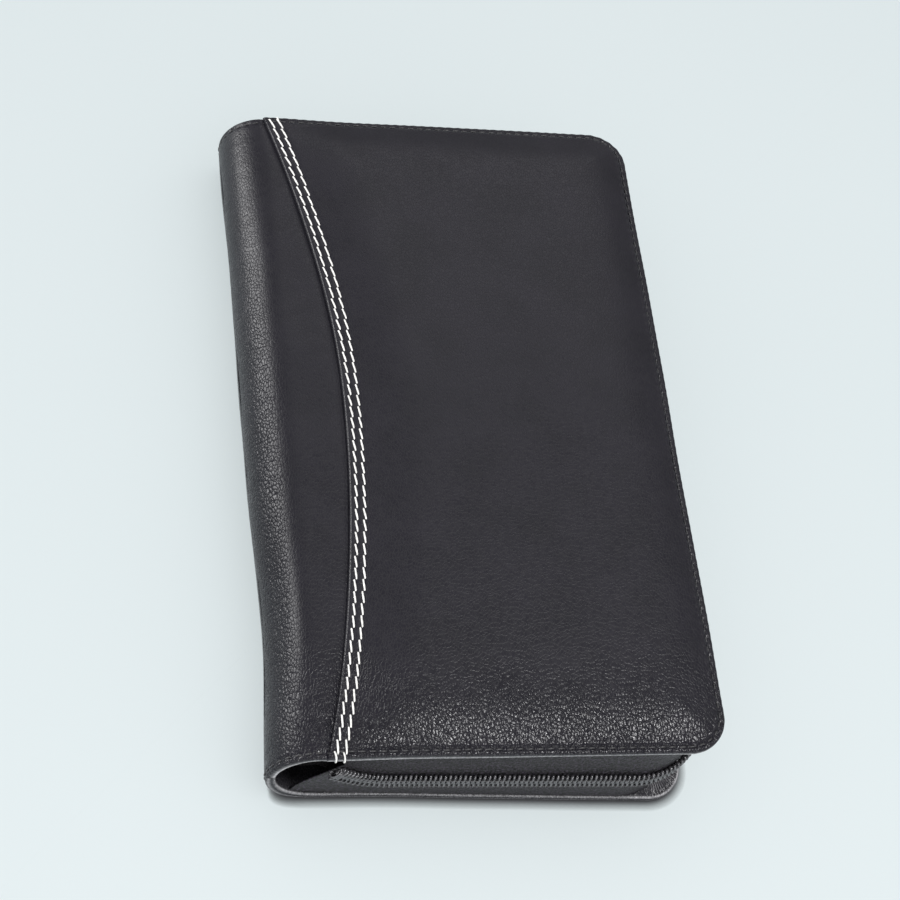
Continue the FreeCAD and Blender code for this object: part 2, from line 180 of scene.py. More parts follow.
def seam_circle():
    """Centre and radius of the circle through the seam's three points."""
    (ax, ay), (bx, by), (cx, cy) = SEAM_POINTS
    sides = np.array([[bx - ax, by - ay], [cx - ax, cy - ay]])
    squares = np.array([bx * bx - ax * ax + by * by - ay * ay, cx * cx - ax * ax + cy * cy - ay * ay])
    centre = np.linalg.solve(sides, squares / 2)
    return centre, math.hypot(ax - centre[0], ay - centre[1])


SEAM_CENTRE, SEAM_RADIUS = seam_circle()


def hand_cut(v):
    """How far the cut of the seam strays from its circle."""
    return 0.75 * hump(v - 28.0, 34.0) - 0.3 * hump(v + 55.0, 30.0)


def seam_at(v, offset=0.0):
    """Where the seam, or a row beside it, crosses v."""
    circle = SEAM_CENTRE[0] + np.sqrt((SEAM_RADIUS + offset) ** 2 - (v - SEAM_CENTRE[1]) ** 2)
    return circle + hand_cut(v)


def from_seam(s, v):
    """Distance from the seam, positive on the front panel."""
    return np.hypot(s - hand_cut(v) - SEAM_CENTRE[0], v - SEAM_CENTRE[1]) - SEAM_RADIUS


# ---- meshes

def ripple(a, b, size, seed):
    """Slow unevenness of about plus or minus one, the same on every run."""
    rng = np.random.default_rng(seed)
    total = np.zeros_like(np.asarray(a, float) + np.asarray(b, float))
    for _ in range(7):
        angle, phase = rng.uniform(0, math.tau, 2)
        length = size * rng.uniform(0.6, 1.7)
        along = a * math.cos(angle) + b * math.sin(angle)
        total += np.sin(math.tau * along / length + phase)
    return total / 3.2


def grid_faces(rows, columns, first=0, flip=False):
    """Quads of a grid whose vertices run row by row."""
    r, c = np.meshgrid(np.arange(rows - 1), np.arange(columns - 1), indexing="ij")
    a = (first + r * columns + c).ravel()
    quads = np.stack([a, a + 1, a + columns + 1, a + columns], 1)
    return quads[:, ::-1] if flip else quads


def grid_rim(rows, columns):
    """A grid's border: its first row, last column, last row and first column in turn."""
    rim = list(range(columns))
    rim += [r * columns + columns - 1 for r in range(1, rows)]
    rim += [(rows - 1) * columns + c for c in range(columns - 2, -1, -1)]
    return rim + [r * columns for r in range(rows - 2, 0, -1)]


def ring_faces(rings, sides):
    """Faces of a closed tube made of rings of vertices, with both ends capped."""
    faces = []
    for r in range(rings - 1):
        for k in range(sides):
            n = (k + 1) % sides
            faces.append((r * sides + k, r * sides + n, (r + 1) * sides + n, (r + 1) * sides + k))
    faces.append(tuple(range(sides - 1, -1, -1)))
    faces.append(tuple((rings - 1) * sides + k for k in range(sides)))
    return faces


def low_corner(far, half, radius, turn):
    """Points of a round corner at the given turns, from the bottom edge towards the far edge."""
    return np.stack([far - radius + radius * np.sin(turn), -half + radius - radius * np.cos(turn)], 1)


def mirrored(line):
    """A line at the bottom carried to the top, and run backwards."""
    return (line * [1, -1])[::-1]


def resample(line, shares):
    """Points at the given shares of a polyline's length."""
    steps = np.r_[0, np.cumsum(np.hypot(*np.diff(line, axis=0).T))]
    return np.stack([np.interp(shares * steps[-1], steps, line[:, k]) for k in range(2)], 1)


def coons(bottom, top, left, right, a, b):
    """A grid filled in between four boundary lines; rows follow b and columns follow a."""
    a, b = a[None, :, None], b[:, None, None]
    sides = (1 - b) * bottom[None] + b * top[None] + (1 - a) * left[:, None] + a * right[:, None]
    low = (1 - a) * bottom[0] + a * bottom[-1]
    high = (1 - a) * top[0] + a * top[-1]
    return sides - (1 - b) * low - b * high


def make(name, points, faces, place, material, grain=None):
    """A smooth mesh piece. Its surf attribute holds flat coordinates that its pattern follows."""
    mesh = bpy.data.meshes.new(name)
    mesh.from_pydata((place(points) * MM).tolist(), [], [list(map(int, f)) for f in faces])
    surf = mesh.attributes.new("surf", "FLOAT_VECTOR", "POINT")
    flat = points if grain is None else grain
    surf.data.foreach_set("vector", np.asarray(flat, np.float32).ravel())
    mesh.polygons.foreach_set("use_smooth", np.ones(len(mesh.polygons), bool))
    mesh.materials.append(material)
    mesh.validate()
    piece = bpy.data.objects.new(name, mesh)
    bpy.context.scene.collection.objects.link(piece)
    return piece


def settle(piece, body, node):
    """Fixes a piece to a body, in place of the CAD node that it stands for."""
    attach(piece, body)
    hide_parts(node)


def two_sided(front_grid, back_grid):
    """Vertices and faces of a closed sheet from the grids of its two sides."""
    rows, columns = front_grid.shape[:2]
    count = rows * columns
    points = np.concatenate([front_grid.reshape(-1, 3), back_grid.reshape(-1, 3)])
    faces = [*grid_faces(rows, columns), *grid_faces(rows, columns, count, flip=True)]
    rim = grid_rim(rows, columns)
    for a, b in zip(rim, rim[1:] + rim[:1]):
        faces.append((a, a + count, b + count, b))
    return points, faces


def tube(line, radius, sides=6, up=(0.0, 0.0, 1.0)):
    """A closed tube along a line of points. The radius may change along it."""
    line = np.asarray(line, float)
    along = np.gradient(line, axis=0)
    along /= np.linalg.norm(along, axis=1)[:, None]
    across = np.cross(along, np.asarray(up, float))
    across /= np.maximum(np.linalg.norm(across, axis=1), 1e-9)[:, None]
    over = np.cross(across, along)
    angles = np.arange(sides) * math.tau / sides
    radius = np.broadcast_to(radius, (len(line),))[:, None, None]
    ring = across[:, None] * np.cos(angles)[None, :, None] + over[:, None] * np.sin(angles)[None, :, None]
    return (line[:, None] + ring * radius).reshape(-1, 3), ring_faces(len(line), sides)


def join(parts):
    """One vertex array and face list from several."""
    points, faces, first = [], [], 0
    for part_points, part_faces in parts:
        points.append(part_points)
        faces += [tuple(i + first for i in face) for face in part_faces]
        first += len(part_points)
    return np.concatenate(points), faces


# ---- materials

class Nodes:
    """A small builder for a material's node tree."""

    def __init__(self, name):
        self.material = bpy.data.materials.new(name)
        self.material.use_nodes = True
        self.tree = self.material.node_tree
        self.shader = self.tree.nodes["Principled BSDF"]

    def add(self, kind, sockets=None, **values):
        """A new node with the given settings, and its input sockets fed by name or number."""
        node = self.tree.nodes.new(kind)
        for key, value in values.items():
            setattr(node, key, value)
        for socket, value in (sockets or {}).items():
            self.feed(node.inputs[socket], value)
        return node

    def feed(self, socket, value):
        """Links an output socket, or sets a plain value."""
        if hasattr(value, "links"):
            self.tree.links.new(value, socket)
        else:
            socket.default_value = value

    def local(self):
        """The piece's own coordinates, in metres."""
        return self.add("ShaderNodeTexCoord").outputs["Object"]

    def flat(self):
        """The flat coordinates of the piece, in millimetres."""
        return self.add("ShaderNodeAttribute", attribute_name="surf").outputs["Vector"]

    def vector(self, operation, a, b):
        return self.add("ShaderNodeVectorMath", {0: a, 1: b}, operation=operation).outputs[0]

    def math(self, operation, a, b):
        return self.add("ShaderNodeMath", {0: a, 1: b}, operation=operation).outputs[0]

    def times(self, a, b):
        return self.math("MULTIPLY", a, b)

    def plus(self, a, b):
        return self.math("ADD", a, b)

    def wave(self, value, length):
        """A sine wave of the given length."""
        return self.math("SINE", self.times(value, math.tau / length), 0.0)

    def split(self, value):
        """The three components of a vector."""
        return self.add("ShaderNodeSeparateXYZ", {0: value}).outputs

    def noise(self, where, scale, detail=3.0, rough=0.5, output="Fac"):
        sockets = {"Vector": where, "Scale": scale, "Detail": detail, "Roughness": rough}
        return self.add("ShaderNodeTexNoise", sockets).outputs[output]

    def cells(self, where, scale, feature="F1"):
        """Distance to the nearest cell's middle, or to the nearest cell wall."""
        sockets = {"Vector": where, "Scale": scale}
        node = self.add("ShaderNodeTexVoronoi", sockets, feature=feature, voronoi_dimensions="2D")
        return node.outputs["Distance"]

    def span(self, value, low, high, out_low=0.0, out_high=1.0):
        """Maps a value from one range to another, smoothly, and holds it past both ends."""
        sockets = {"Value": value, "From Min": low, "From Max": high, "To Min": out_low, "To Max": out_high}
        return self.add("ShaderNodeMapRange", sockets, interpolation_type="SMOOTHSTEP").outputs["Result"]

    def mix(self, share, a, b):
        return self.add("ShaderNodeMix", {0: share, 6: a, 7: b}, data_type="RGBA").outputs[2]

    def spread(self, value):
        """The same number in all three components."""
        return self.add("ShaderNodeCombineXYZ", {0: value, 1: value, 2: value}).outputs[0]

    def bump(self, height, distance, strength=1.0, normal=None):
        """A bumped normal. The height's full range stands for a distance in millimetres."""
        sockets = {"Height": height, "Distance": distance * MM, "Strength": strength}
        if normal is not None:
            sockets["Normal"] = normal
        return self.add("ShaderNodeBump", sockets).outputs["Normal"]

    def finish(self, colour, roughness, normal=None, **constants):
        """Feeds the shader and returns the material."""
        self.feed(self.shader.inputs["Base Color"], colour)
        self.feed(self.shader.inputs["Roughness"], roughness)
        if normal is not None:
            self.feed(self.shader.inputs["Normal"], normal)
        for key, value in constants.items():
            self.shader.inputs[key.replace("_", " ")].default_value = value
        return self.material


def shaded(colour, share):
    """A colour made darker or lighter by a factor."""
    return tuple(c * share for c in colour[:3]) + (1,)


def bold_grain(n, flat):
    """How bold the leather's grain is: most towards the bottom of the case and round the spine."""
    across, up, _ = n.split(flat)
    up_the_case = n.plus(up, n.times(n.noise(flat, 0.03, 3.0), 44.0))
    bold = n.span(up_the_case, -92.0, -52.0, 1.0, 0.22)
    bold = n.times(bold, n.span(up_the_case, 0.0, 90.0, 1.0, 0.5))
    round_spine = n.span(across, -11.0, -3.0, 1.0, 0.0)
    round_spine = n.times(round_spine, n.span(up_the_case, -10.0, 110.0, 0.95, 0.3))
    return n.math("MAXIMUM", bold, round_spine)


def leather_material(name, pebble=1.0, tone=1.0, roughness=0.345):
    """Black full-grain leather: rounded pebbles parted by thin creases, with fine pores.

    Where the skin's attribute says so, the turned edges are painted paler: partly edge wear, partly painted
    highlight.
    """
    n = Nodes(name)
    flat = n.flat()
    drift = n.vector("MULTIPLY", n.noise(flat, 0.3, 1.0, output="Color"), (2.2, 2.2, 2.2))
    warped = n.vector("ADD", flat, drift)
    stretched = n.vector("MULTIPLY", warped, (1.25, 0.8, 1.0))
    crease = n.cells(stretched, 0.95, "DISTANCE_TO_EDGE")
    reach = n.cells(stretched, 0.95)
    dome = n.math("SUBTRACT", 1.0, n.times(reach, reach))
    pebbles = n.plus(n.times(dome, 0.9), n.span(crease, 0.0, 0.16, 0.0, 0.45))
    small = n.span(n.cells(warped, 1.8, "DISTANCE_TO_EDGE"), 0.0, 0.4)
    bold = bold_grain(n, flat)
    height = n.plus(pebbles, n.times(small, 0.1))
    normal = n.bump(height, 0.23, n.times(bold, 0.95 * pebble))
    normal = n.bump(n.noise(flat, 4.0, 2.0, 0.5), 0.008, 0.5, normal)
    shade = n.span(n.noise(flat, 0.06, 4.0), 0.3, 0.7)
    colour = n.mix(shade, shaded((0.0080, 0.0074, 0.0112), tone), shaded((0.0110, 0.0101, 0.0148), tone))
    # Painted shade: the creases between the pebbles are darkened.
    colour = n.mix(n.span(crease, 0.0, 0.12, 0.55, 0.0), colour, (0.006, 0.006, 0.007, 1))
    # Edge wear and painted highlight: the turned edges' shoulders and the pleat ridges are mixed towards
    # pale grey.
    wear_and_highlight = n.add("ShaderNodeAttribute", attribute_name="wear_and_highlight").outputs["Fac"]
    wear = n.times(wear_and_highlight, n.span(n.noise(flat, 0.8, 3.0), 0.25, 0.6, 0.55, 1.0))
    colour = n.mix(wear, colour, (0.5, 0.495, 0.51, 1))
    rough = n.plus(n.span(n.noise(flat, 0.5, 3.0), 0.3, 0.7, -0.04, 0.05), roughness)
    rough = n.math("SUBTRACT", rough, n.times(bold, 0.12))
    rough = n.plus(rough, n.span(crease, 0.0, 0.2, 0.16, 0.0))
    return n.finish(colour, rough, normal, Specular_IOR_Level=0.3)


def cloth_material(name, base, pitch=0.45, sheen=0.1, painted_glints=0.0, roughness=0.82):
    """A plain weave: threads over and under each other in both directions."""
    n = Nodes(name)
    flat = n.flat()
    x, y, _ = n.split(flat)
    warp = n.wave(x, pitch * 2)
    weft = n.wave(y, pitch * 2)
    over = n.times(warp, weft)
    height = n.plus(over, n.times(n.noise(flat, 2.5, 3.0), 0.8))
    normal = n.bump(n.noise(flat, 0.8, 2.0), 0.8, 0.5)
    normal = n.bump(height, 0.09, 0.8, normal)
    shade = n.span(n.noise(flat, 0.12, 4.0), 0.3, 0.7)
    colour = n.mix(shade, shaded(base, 0.72), base)
    # Painted shade: the weave is darker where its threads dip under.
    colour = n.mix(n.span(over, -0.6, 0.6, 0.35, 0.0), colour, shaded(base, 0.4))
    if painted_glints:
        # Painted highlights: pale flecks in the colour stand for glints on the crinkled tape, under a
        # stronger crinkle bump.
        painted_glint_flecks = n.span(n.noise(flat, 1.2, 2.0, 0.6), 0.48, 0.6, 1 - painted_glints, 1 + 4.5 * painted_glints)
        colour = n.vector("MULTIPLY", colour, n.spread(painted_glint_flecks))
        normal = n.bump(n.noise(flat, 0.9, 3.0), 1.8, 0.9, normal)
    return n.finish(colour, roughness, normal, Sheen_Weight=sheen, Sheen_Roughness=0.4)


def thread_material(name, base, roughness, sheen):
    """Twisted sewing thread with fine fibres across it."""
    n = Nodes(name)
    where = n.local()
    fibres = n.noise(where, 5200.0, 2.0)
    shade = n.span(n.noise(where, 900.0, 3.0), 0.3, 0.75)
    colour = n.mix(shade, shaded(base, 0.74), base)
    return n.finish(colour, roughness, n.bump(fibres, 0.06, 0.7), Sheen_Weight=sheen)


def coil_material():
    """Black nylon coil wire, slightly worn."""
    n = Nodes("zip_coil")
    where = n.local()
    wear = n.span(n.noise(where, 700.0, 3.0), 0.35, 0.7)
    colour = n.mix(wear, (0.03, 0.0288, 0.0325, 1), (0.09, 0.087, 0.095, 1))
    return n.finish(colour, n.span(wear, 0.0, 1.0, 0.16, 0.3), None, Specular_IOR_Level=1.0)


def metal_material():
    """Dark plated metal with fine brushing and handling marks."""
    n = Nodes("zip_metal")
    where = n.local()
    brushed = n.noise(n.vector("MULTIPLY", where, (1.0, 1.0, 14.0)), 900.0, 3.0)
    marks = n.span(n.noise(where, 260.0, 4.0), 0.35, 0.7)
    colour = n.mix(marks, (0.15, 0.15, 0.16, 1), (0.24, 0.235, 0.235, 1))
    rough = n.span(brushed, 0.3, 0.7, 0.2, 0.36)
    return n.finish(colour, rough, n.bump(brushed, 0.02, 0.4), Metallic=1.0)


def plain_material(name, light, dark, scale):
    """Foam or board: a mottled matt surface."""
    n = Nodes(name)
    where = n.local()
    spots = n.noise(where, scale, 4.0)
    return n.finish(n.mix(n.span(spots, 0.3, 0.7), light, dark), 0.9, n.bump(spots, 0.1, 0.5))


def elastic_material():
    """Ribbed black elastic."""
    n = Nodes("elastic")
    x, y, _ = n.split(n.flat())
    ribs = n.wave(y, 1.1)
    fine = n.wave(x, 0.5)
    height = n.plus(ribs, n.times(fine, 0.4))
    # Painted light and shade: the ribs' crests are lighter and the hollows between them darker.
    colour = n.mix(n.span(ribs, -0.8, 0.8), (0.009, 0.009, 0.01, 1), (0.028, 0.028, 0.031, 1))
    return n.finish(colour, 0.75, n.bump(height, 0.15, 0.8), Sheen_Weight=0.2)


LEATHER = leather_material("pebbled_leather")
POCKET_LEATHER = leather_material("pocket_leather", pebble=0.55, tone=1.1, roughness=0.5)
LINING = cloth_material("lining_cloth", (0.05, 0.047, 0.05, 1))
TAPE = cloth_material("zip_tape_weave", (0.0075, 0.0058, 0.0092, 1), 0.4, 0.0, painted_glints=0.9, roughness=0.5)
WHITE_THREAD = thread_material("white_thread", (0.88, 0.87, 0.84, 1), 0.6, 0.3)
BLACK_THREAD = thread_material("black_thread", (0.045, 0.044, 0.048, 1), 0.42, 0.2)
EDGE_THREAD = thread_material("edge_thread", (0.022, 0.0215, 0.024, 1), 0.42, 0.2)
COIL = coil_material()
METAL = metal_material()
ELASTIC = elastic_material()


# ---- leather skins

def inset(s, v, length):
    """Distance in from the free edges of a cover, following its round corners."""
    across = s - (length - CORNER)
    along = np.abs(v) - (HALF_HEIGHT - CORNER)
    corner = CORNER - np.hypot(np.maximum(across, 0), np.maximum(along, 0))
    return np.where((across > 0) & (along > 0), corner, CORNER - np.maximum(across, along))


def run_of_edge(s, v, length):
    """Length along a cover's edge row, from the fold's bottom end round to its top end."""
    straight = length - CORNER
    arc = CORNER - EDGE_ROW
    across = np.maximum(s - straight, 0)
    along = np.abs(v) - (HALF_HEIGHT - CORNER)
    turn = np.arctan2(across, np.maximum(along, 0) + 1e-6)
    half = np.minimum(s, straight) + arc * turn + np.maximum(-along, 0) * (across > 0)
    whole = 2 * (straight + arc * math.pi / 2 + HALF_HEIGHT - CORNER)
    return np.where(v < 0, half, whole - half)


def edge_groove(s, v, length):
    """The sunk line of edge stitching, pulled deeper where each stitch enters."""
    e = inset(s, v, length)
    beat = np.cos(math.tau * run_of_edge(s, v, length) / BLACK_PITCH)
    pillows = 0.1 * (1 + beat) * (hump(e - EDGE_ROW - 1.1, 0.6) + hump(e - EDGE_ROW + 0.9, 0.4))
    return hump(e - EDGE_ROW, 0.55) * (0.42 - 0.26 * beat) - pillows


def cover_depth(s, v, length, crown):
    """Depth of a cover's outer face: soft padding that falls away towards the edges."""
    e = np.maximum(inset(s, v, length), 0)
    padding = crown * (1 - np.exp(-((np.maximum(e - 1.0, 0) / 8.5) ** 1.4)))
    uneven = 0.16 * ripple(s, v, 55.0, 4) * smooth_step(e, 2, 14) * (crown > 0)
    return -padding - uneven + edge_groove(s, v, length) + 0.5 * np.exp(-e / 0.5)


def panel_depth(s, v):
    """Outer face of the front panel, whose folded edge lies on top of the spine leather."""
    from_fold = from_seam(s, v)
    folded = np.maximum(from_fold, 0)
    e = np.maximum(inset(s, v, FRONT_LENGTH), 0)
    padded = cover_depth(s, v, FRONT_LENGTH, CROWN)
    flat = cover_depth(s, v, FRONT_LENGTH, 0.0)
    depth = flat + (padded - flat) * smooth_step(from_fold, -2, 24)
    depth -= PANEL_LIFT * (1 - np.exp(-e / 1.2)) * (1 - np.exp(-folded / 0.35))
    depth += row_grooves(from_fold, v)
    tucked = np.exp(-folded / 0.1)
    return depth + (spine_depth(s, v) + 0.4 - depth) * tucked


def row_grooves(from_fold, v):
    """Shallow channels under the two rows of white stitches, tighter at each needle hole."""
    sunk = np.zeros_like(from_fold)
    for row in SEAM_ROWS:
        beat = np.cos(math.tau * v / WHITE_PITCH)
        sunk += hump(from_fold - row, 0.85) * (0.24 + 0.1 * beat)
    return sunk - 0.16 * hump(from_fold - sum(SEAM_ROWS) / 2, 0.8)


def spine_depth(s, v):
    """Outer face of the spine leather: fine cross creases, and drawn down beside the seam."""
    from_fold = from_seam(s, v)
    e = HALF_HEIGHT - np.abs(v)
    creases = 0.014 * ripple(s * 0.3, v, 5.0, 9) + 0.12 * ripple(s, v, 38.0, 2)
    drawn = 0.55 * np.exp(-np.maximum(-from_fold, 0) / 1.1)
    beat = np.cos(math.tau * s / BLACK_PITCH)
    groove = hump(e - EDGE_ROW, 0.55) * (0.36 - 0.2 * beat)
    waist = 1.6 * hump(v + 63, 29) - 0.9 * hump(v - 100, 24) - 0.9 * hump(v + 112, 16)
    waist = waist * smooth_step(-s, 2, 14)
    return creases * smooth_step(e, 2, 10) + waist + drawn + groove + 0.35 * np.exp(-e / 0.5)


def rear_depth(s, v):
    """Outer face of the rear leather: flat where it lies on the table, like the spine past it."""
    flat = np.maximum(cover_depth(s, v, REAR_LENGTH, 0.0), 0.0)
    spine = spine_depth(np.minimum(s, 0) - 60, v)
    return flat + (spine - flat) * smooth_step(-s, 2, 9)


def rim_thickness(s, rim):
    """Thickness of the turned edge: bare leather at the spine, thinning towards the fore-edge."""
    cover = rim[0] + (rim[1] - rim[0]) * smooth_step(s, 10, 100)
    return SPINE_THICK + (cover - SPINE_THICK) * smooth_step(s, -5, 3)


def margin_thickness(s):
    """Depth of the turned-in leather where it lies on the board, or on bare leather."""
    return SPINE_THICK + (COVER_THICK - SPINE_THICK) * smooth_step(s, -5, 3)


RIM = (
    (0.45, 0.03), (0.12, 0.14), (0.0, 0.28), (0.0, 0.55), (0.0, 0.7), (0.12, 0.86), (0.45, 0.97),
    (0.9, 1.0), (1.5, 1.0), (2.2, 1.0), (3.0, 1.0), (4.0, 1.0), (5.5, 1.0), (7.5, 1.0), (TURN_IN, 0.95),
)
# How much paler each ring of the turned edge is painted: edge wear, and painted highlight on the shoulders
# that catch the light.
WEAR_AND_HIGHLIGHT_INSIDE = (0.0, 0.0, 0.0, 0.3, 1.0, 1.0, 0.3) + (0.045,) * 8
WEAR_AND_HIGHLIGHT_BOTH = (0.0, 0.15, 0.5, 0.0, 0.0, 0.3, 0.75, 0.1) + (0.045,) * 7


def rim_rings(border, outward, depth, rim, wear_and_highlight):
    """Rings that carry a skin over its edge and back inside as the turned-in margin.

    Also returns how much paler each point is painted: the edge's shoulders, partly edge wear and partly
    painted highlight, and the ridges of a corner's pleats, a painted highlight.
    """
    s = border[:, 0]
    turn = np.arctan2(outward[:, 1], outward[:, 0])
    in_corner = smooth_step(np.minimum(*np.abs(outward).T), 0.02, 0.2)
    rings, pale = [], []
    for (back, share), wear_and_highlight_share in zip(RIM, wear_and_highlight):
        thick = rim_thickness(s, rim)
        thick = thick + (margin_thickness(s) - thick) * smooth_step(back, 1.5, 6)
        place = border + outward * (EDGE - back)
        w = depth + share * (thick - depth)
        gathered = smooth_step(back, 0.3, 1.2) * (1 - smooth_step(back, 3.5, 7.5)) * in_corner
        pleat = np.cos(turn * PLEATS)
        rings.append(np.stack([place[:, 0], place[:, 1], w + PLEAT_HEIGHT * pleat * gathered], 1))
        # Painted highlight: the raised ridges of a corner's pleats are painted paler, and the edge's own
        # paleness fades there.
        pale.append(wear_and_highlight_share * (1 - 0.6 * gathered) + 0.3 * gathered * np.maximum(pleat, 0) ** 2)
    return np.stack(rings), np.concatenate(pale)


def outward_of(border, length):
    """Unit direction out of a cover's outline, in the plane of the leather."""
    across = np.maximum(border[:, 0] - (length - CORNER), 0)
    along = np.maximum(np.abs(border[:, 1]) - (HALF_HEIGHT - CORNER), 0) * np.sign(border[:, 1])
    out = np.stack([across, along], 1)
    return out / np.linalg.norm(out, axis=1)[:, None]


def fore_edge_lines(left, length):
    """The four boundary lines of a skin with round corners, inset by the edge's own round."""
    half, radius, reach = HALF_HEIGHT - EDGE, CORNER - EDGE, length - EDGE
    arc = np.linspace(0, math.pi / 4, 20)
    low = low_corner(reach, half, radius, arc)
    bottom = np.concatenate([[[left(-half), -half]], low])
    rise = low_corner(reach, half, radius, arc + math.pi / 4)
    right = np.concatenate([rise, mirrored(rise)])
    top = np.concatenate([[[left(half), half]], low * [1, -1]])
    v = np.linspace(-half, half, 200)
    return bottom, top, np.stack([left(v), v], 1), right


def shares_across(count, length):
    """Shares of a line of some length, fine over its first millimetres and its last corner."""
    fine = np.array([0, 0.1, 0.22, 0.4, 0.7, 1.1, 1.5]) / length
    corner = 1 - CORNER_BAND / length
    middle = np.linspace(2.0 / length, corner, count)
    return np.concatenate([fine, middle, np.linspace(corner, 1, CORNER_STEPS)[1:]])


def shares_along(count, length):
    """Shares of a line of some length, fine in the corners at both ends."""
    corner = CORNER_BAND / length
    ends = np.linspace(0, corner, CORNER_STEPS)
    return np.concatenate([ends, np.linspace(corner, 1 - corner, count)[1:-1], 1 - ends[::-1]])


def wavy(points, length, amount=0.22):
    """Moves the free edges in and out a little, as a hand-turned edge does."""
    s, v = points[:, 0], points[:, 1]
    near = 1 - smooth_step(np.abs(inset(s, v, length)), 0, 14)
    moved = points.copy()
    moved[:, 1] += np.sign(v) * near * amount * ripple(s, 0 * v, 42.0, 21) * smooth_step(np.abs(v), 70, 112)
    moved[:, 0] += near * amount * ripple(0 * s, v, 60.0, 22) * smooth_step(s, length - 30, length)
    return moved


def cover_skin(name, place, left, length, depth, rim, wear_and_highlight, rows):
    """A cover's leather from its left line to the fore-edge, turned over its three free edges."""
    bottom, top, left_line, right = fore_edge_lines(left, length)
    a = shares_across(150, length)
    b = shares_along(rows, 2 * HALF_HEIGHT)
    plan = coons(resample(bottom, a), resample(top, a), resample(left_line, b), resample(right, b), a, b)
    n_rows, n_columns = plan.shape[:2]
    s, v = plan[..., 0], plan[..., 1]
    face = np.concatenate([plan, depth(s, v)[..., None]], 2).reshape(-1, 3)
    border = grid_rim(n_rows, n_columns)[:2 * n_columns + n_rows - 2]
    edge = face[border]
    rings, pale = rim_rings(edge[:, :2], outward_of(edge[:, :2], length), edge[:, 2], rim, wear_and_highlight)
    points = np.concatenate([face, rings.reshape(-1, 3)])
    faces = list(grid_faces(n_rows, n_columns, flip=place is on_rear))
    faces += strip(border, len(face), len(rings), place is on_rear)
    skin = make(name, wavy(points, length), faces, place, LEATHER, points)
    mark_wear_and_highlight(skin, [(len(face), pale)])
    return skin


def mark_wear_and_highlight(skin, runs):
    """Marks where the turned edge is painted paler, partly edge wear and partly painted highlight, which its
    material reads.
    """
    wear_and_highlight = np.zeros(len(skin.data.vertices), np.float32)
    for first, pale in runs:
        wear_and_highlight[first:first + len(pale)] = pale
    skin.data.attributes.new("wear_and_highlight", "FLOAT", "POINT").data.foreach_set("value", wear_and_highlight)


def strip(border, first, rings, flip):
    """Quads from a border of a face out over the rings that follow it."""
    count = len(border)
    rows = [border] + [list(range(first + k * count, first + (k + 1) * count)) for k in range(rings)]
    faces = []
    for inner, outer in zip(rows, rows[1:]):
        for i in range(count - 1):
            quad = (inner[i], outer[i], outer[i + 1], inner[i + 1])
            faces.append(quad[::-1] if flip else quad)
    return faces


def spine_skin(name, place, right, depth, columns, rows):
    """Leather from the middle of the spine to its right line, turned over at both spine ends."""
    half = HALF_HEIGHT - EDGE
    v = np.linspace(-half, half, rows)
    share = np.linspace(0, 1, columns)
    s = -HALF_SPINE + share[None] * (right(v)[:, None] + HALF_SPINE)
    vv = np.broadcast_to(v[:, None], s.shape)
    face = np.stack([s, vv, depth(s, vv)], 2).reshape(-1, 3)
    points, faces = [face], list(grid_faces(rows, columns))
    first, runs = len(face), []
    for border, out in (
        (list(range(columns)), -1.0),
        ([(rows - 1) * columns + c for c in range(columns - 1, -1, -1)], 1.0),
    ):
        edge = face[border]
        outward = np.tile([0.0, out], (columns, 1))
        rings, pale = rim_rings(edge[:, :2], outward, edge[:, 2], FRONT_RIM, WEAR_AND_HIGHLIGHT_INSIDE)
        points.append(rings.reshape(-1, 3))
        faces += strip(border, first, len(rings), False)
        runs.append((first, pale))
        first += rings.shape[0] * rings.shape[1]
    skin = make(name, np.concatenate(points), faces, place, LEATHER)
    mark_wear_and_highlight(skin, runs)
    return skin


def bend_over_fold(piece, place):
    """Bakes a piece's placement into its mesh. It works out where a band round the fold line lies on the
    cover and the spine, but uses neither.
    """
    band = 8.0
    fold = -SPINE_RADIUS * FOLD_TURN
    cover, spine = place(np.array([[fold + band / 2, 0, 0], [fold - band / 2, 0, 0]])) * MM
    if place is on_rear:
        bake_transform(piece)
    else:
        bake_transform(piece)


def middle_of_spine(v):
    """The line along the middle of the spine, where the rear's leather ends."""
    return -HALF_SPINE + 0 * v


def leather_pieces():
    """The rear cover's leather, the spine's and the front panel's."""
    rear = cover_skin(
        "rear_leather_skin", on_rear, middle_of_spine, REAR_LENGTH, rear_depth, REAR_RIM, WEAR_AND_HIGHLIGHT_BOTH, 270
    )
    bend_over_fold(rear, on_rear)
    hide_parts("rear_leather")
    spine = spine_skin("spine_leather_skin", on_front, lambda v: seam_at(v) + 1.5, spine_depth, 48, 330)
    bend_over_fold(spine, on_front)
    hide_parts("spine_leather", "front_spine_flap")
    panel = cover_skin(
        "front_panel_skin", on_front, seam_at, FRONT_LENGTH, panel_depth, FRONT_RIM, WEAR_AND_HIGHLIGHT_INSIDE, 300
    )
    settle(panel, "front_cover", "front_panel")


# ---- stitches

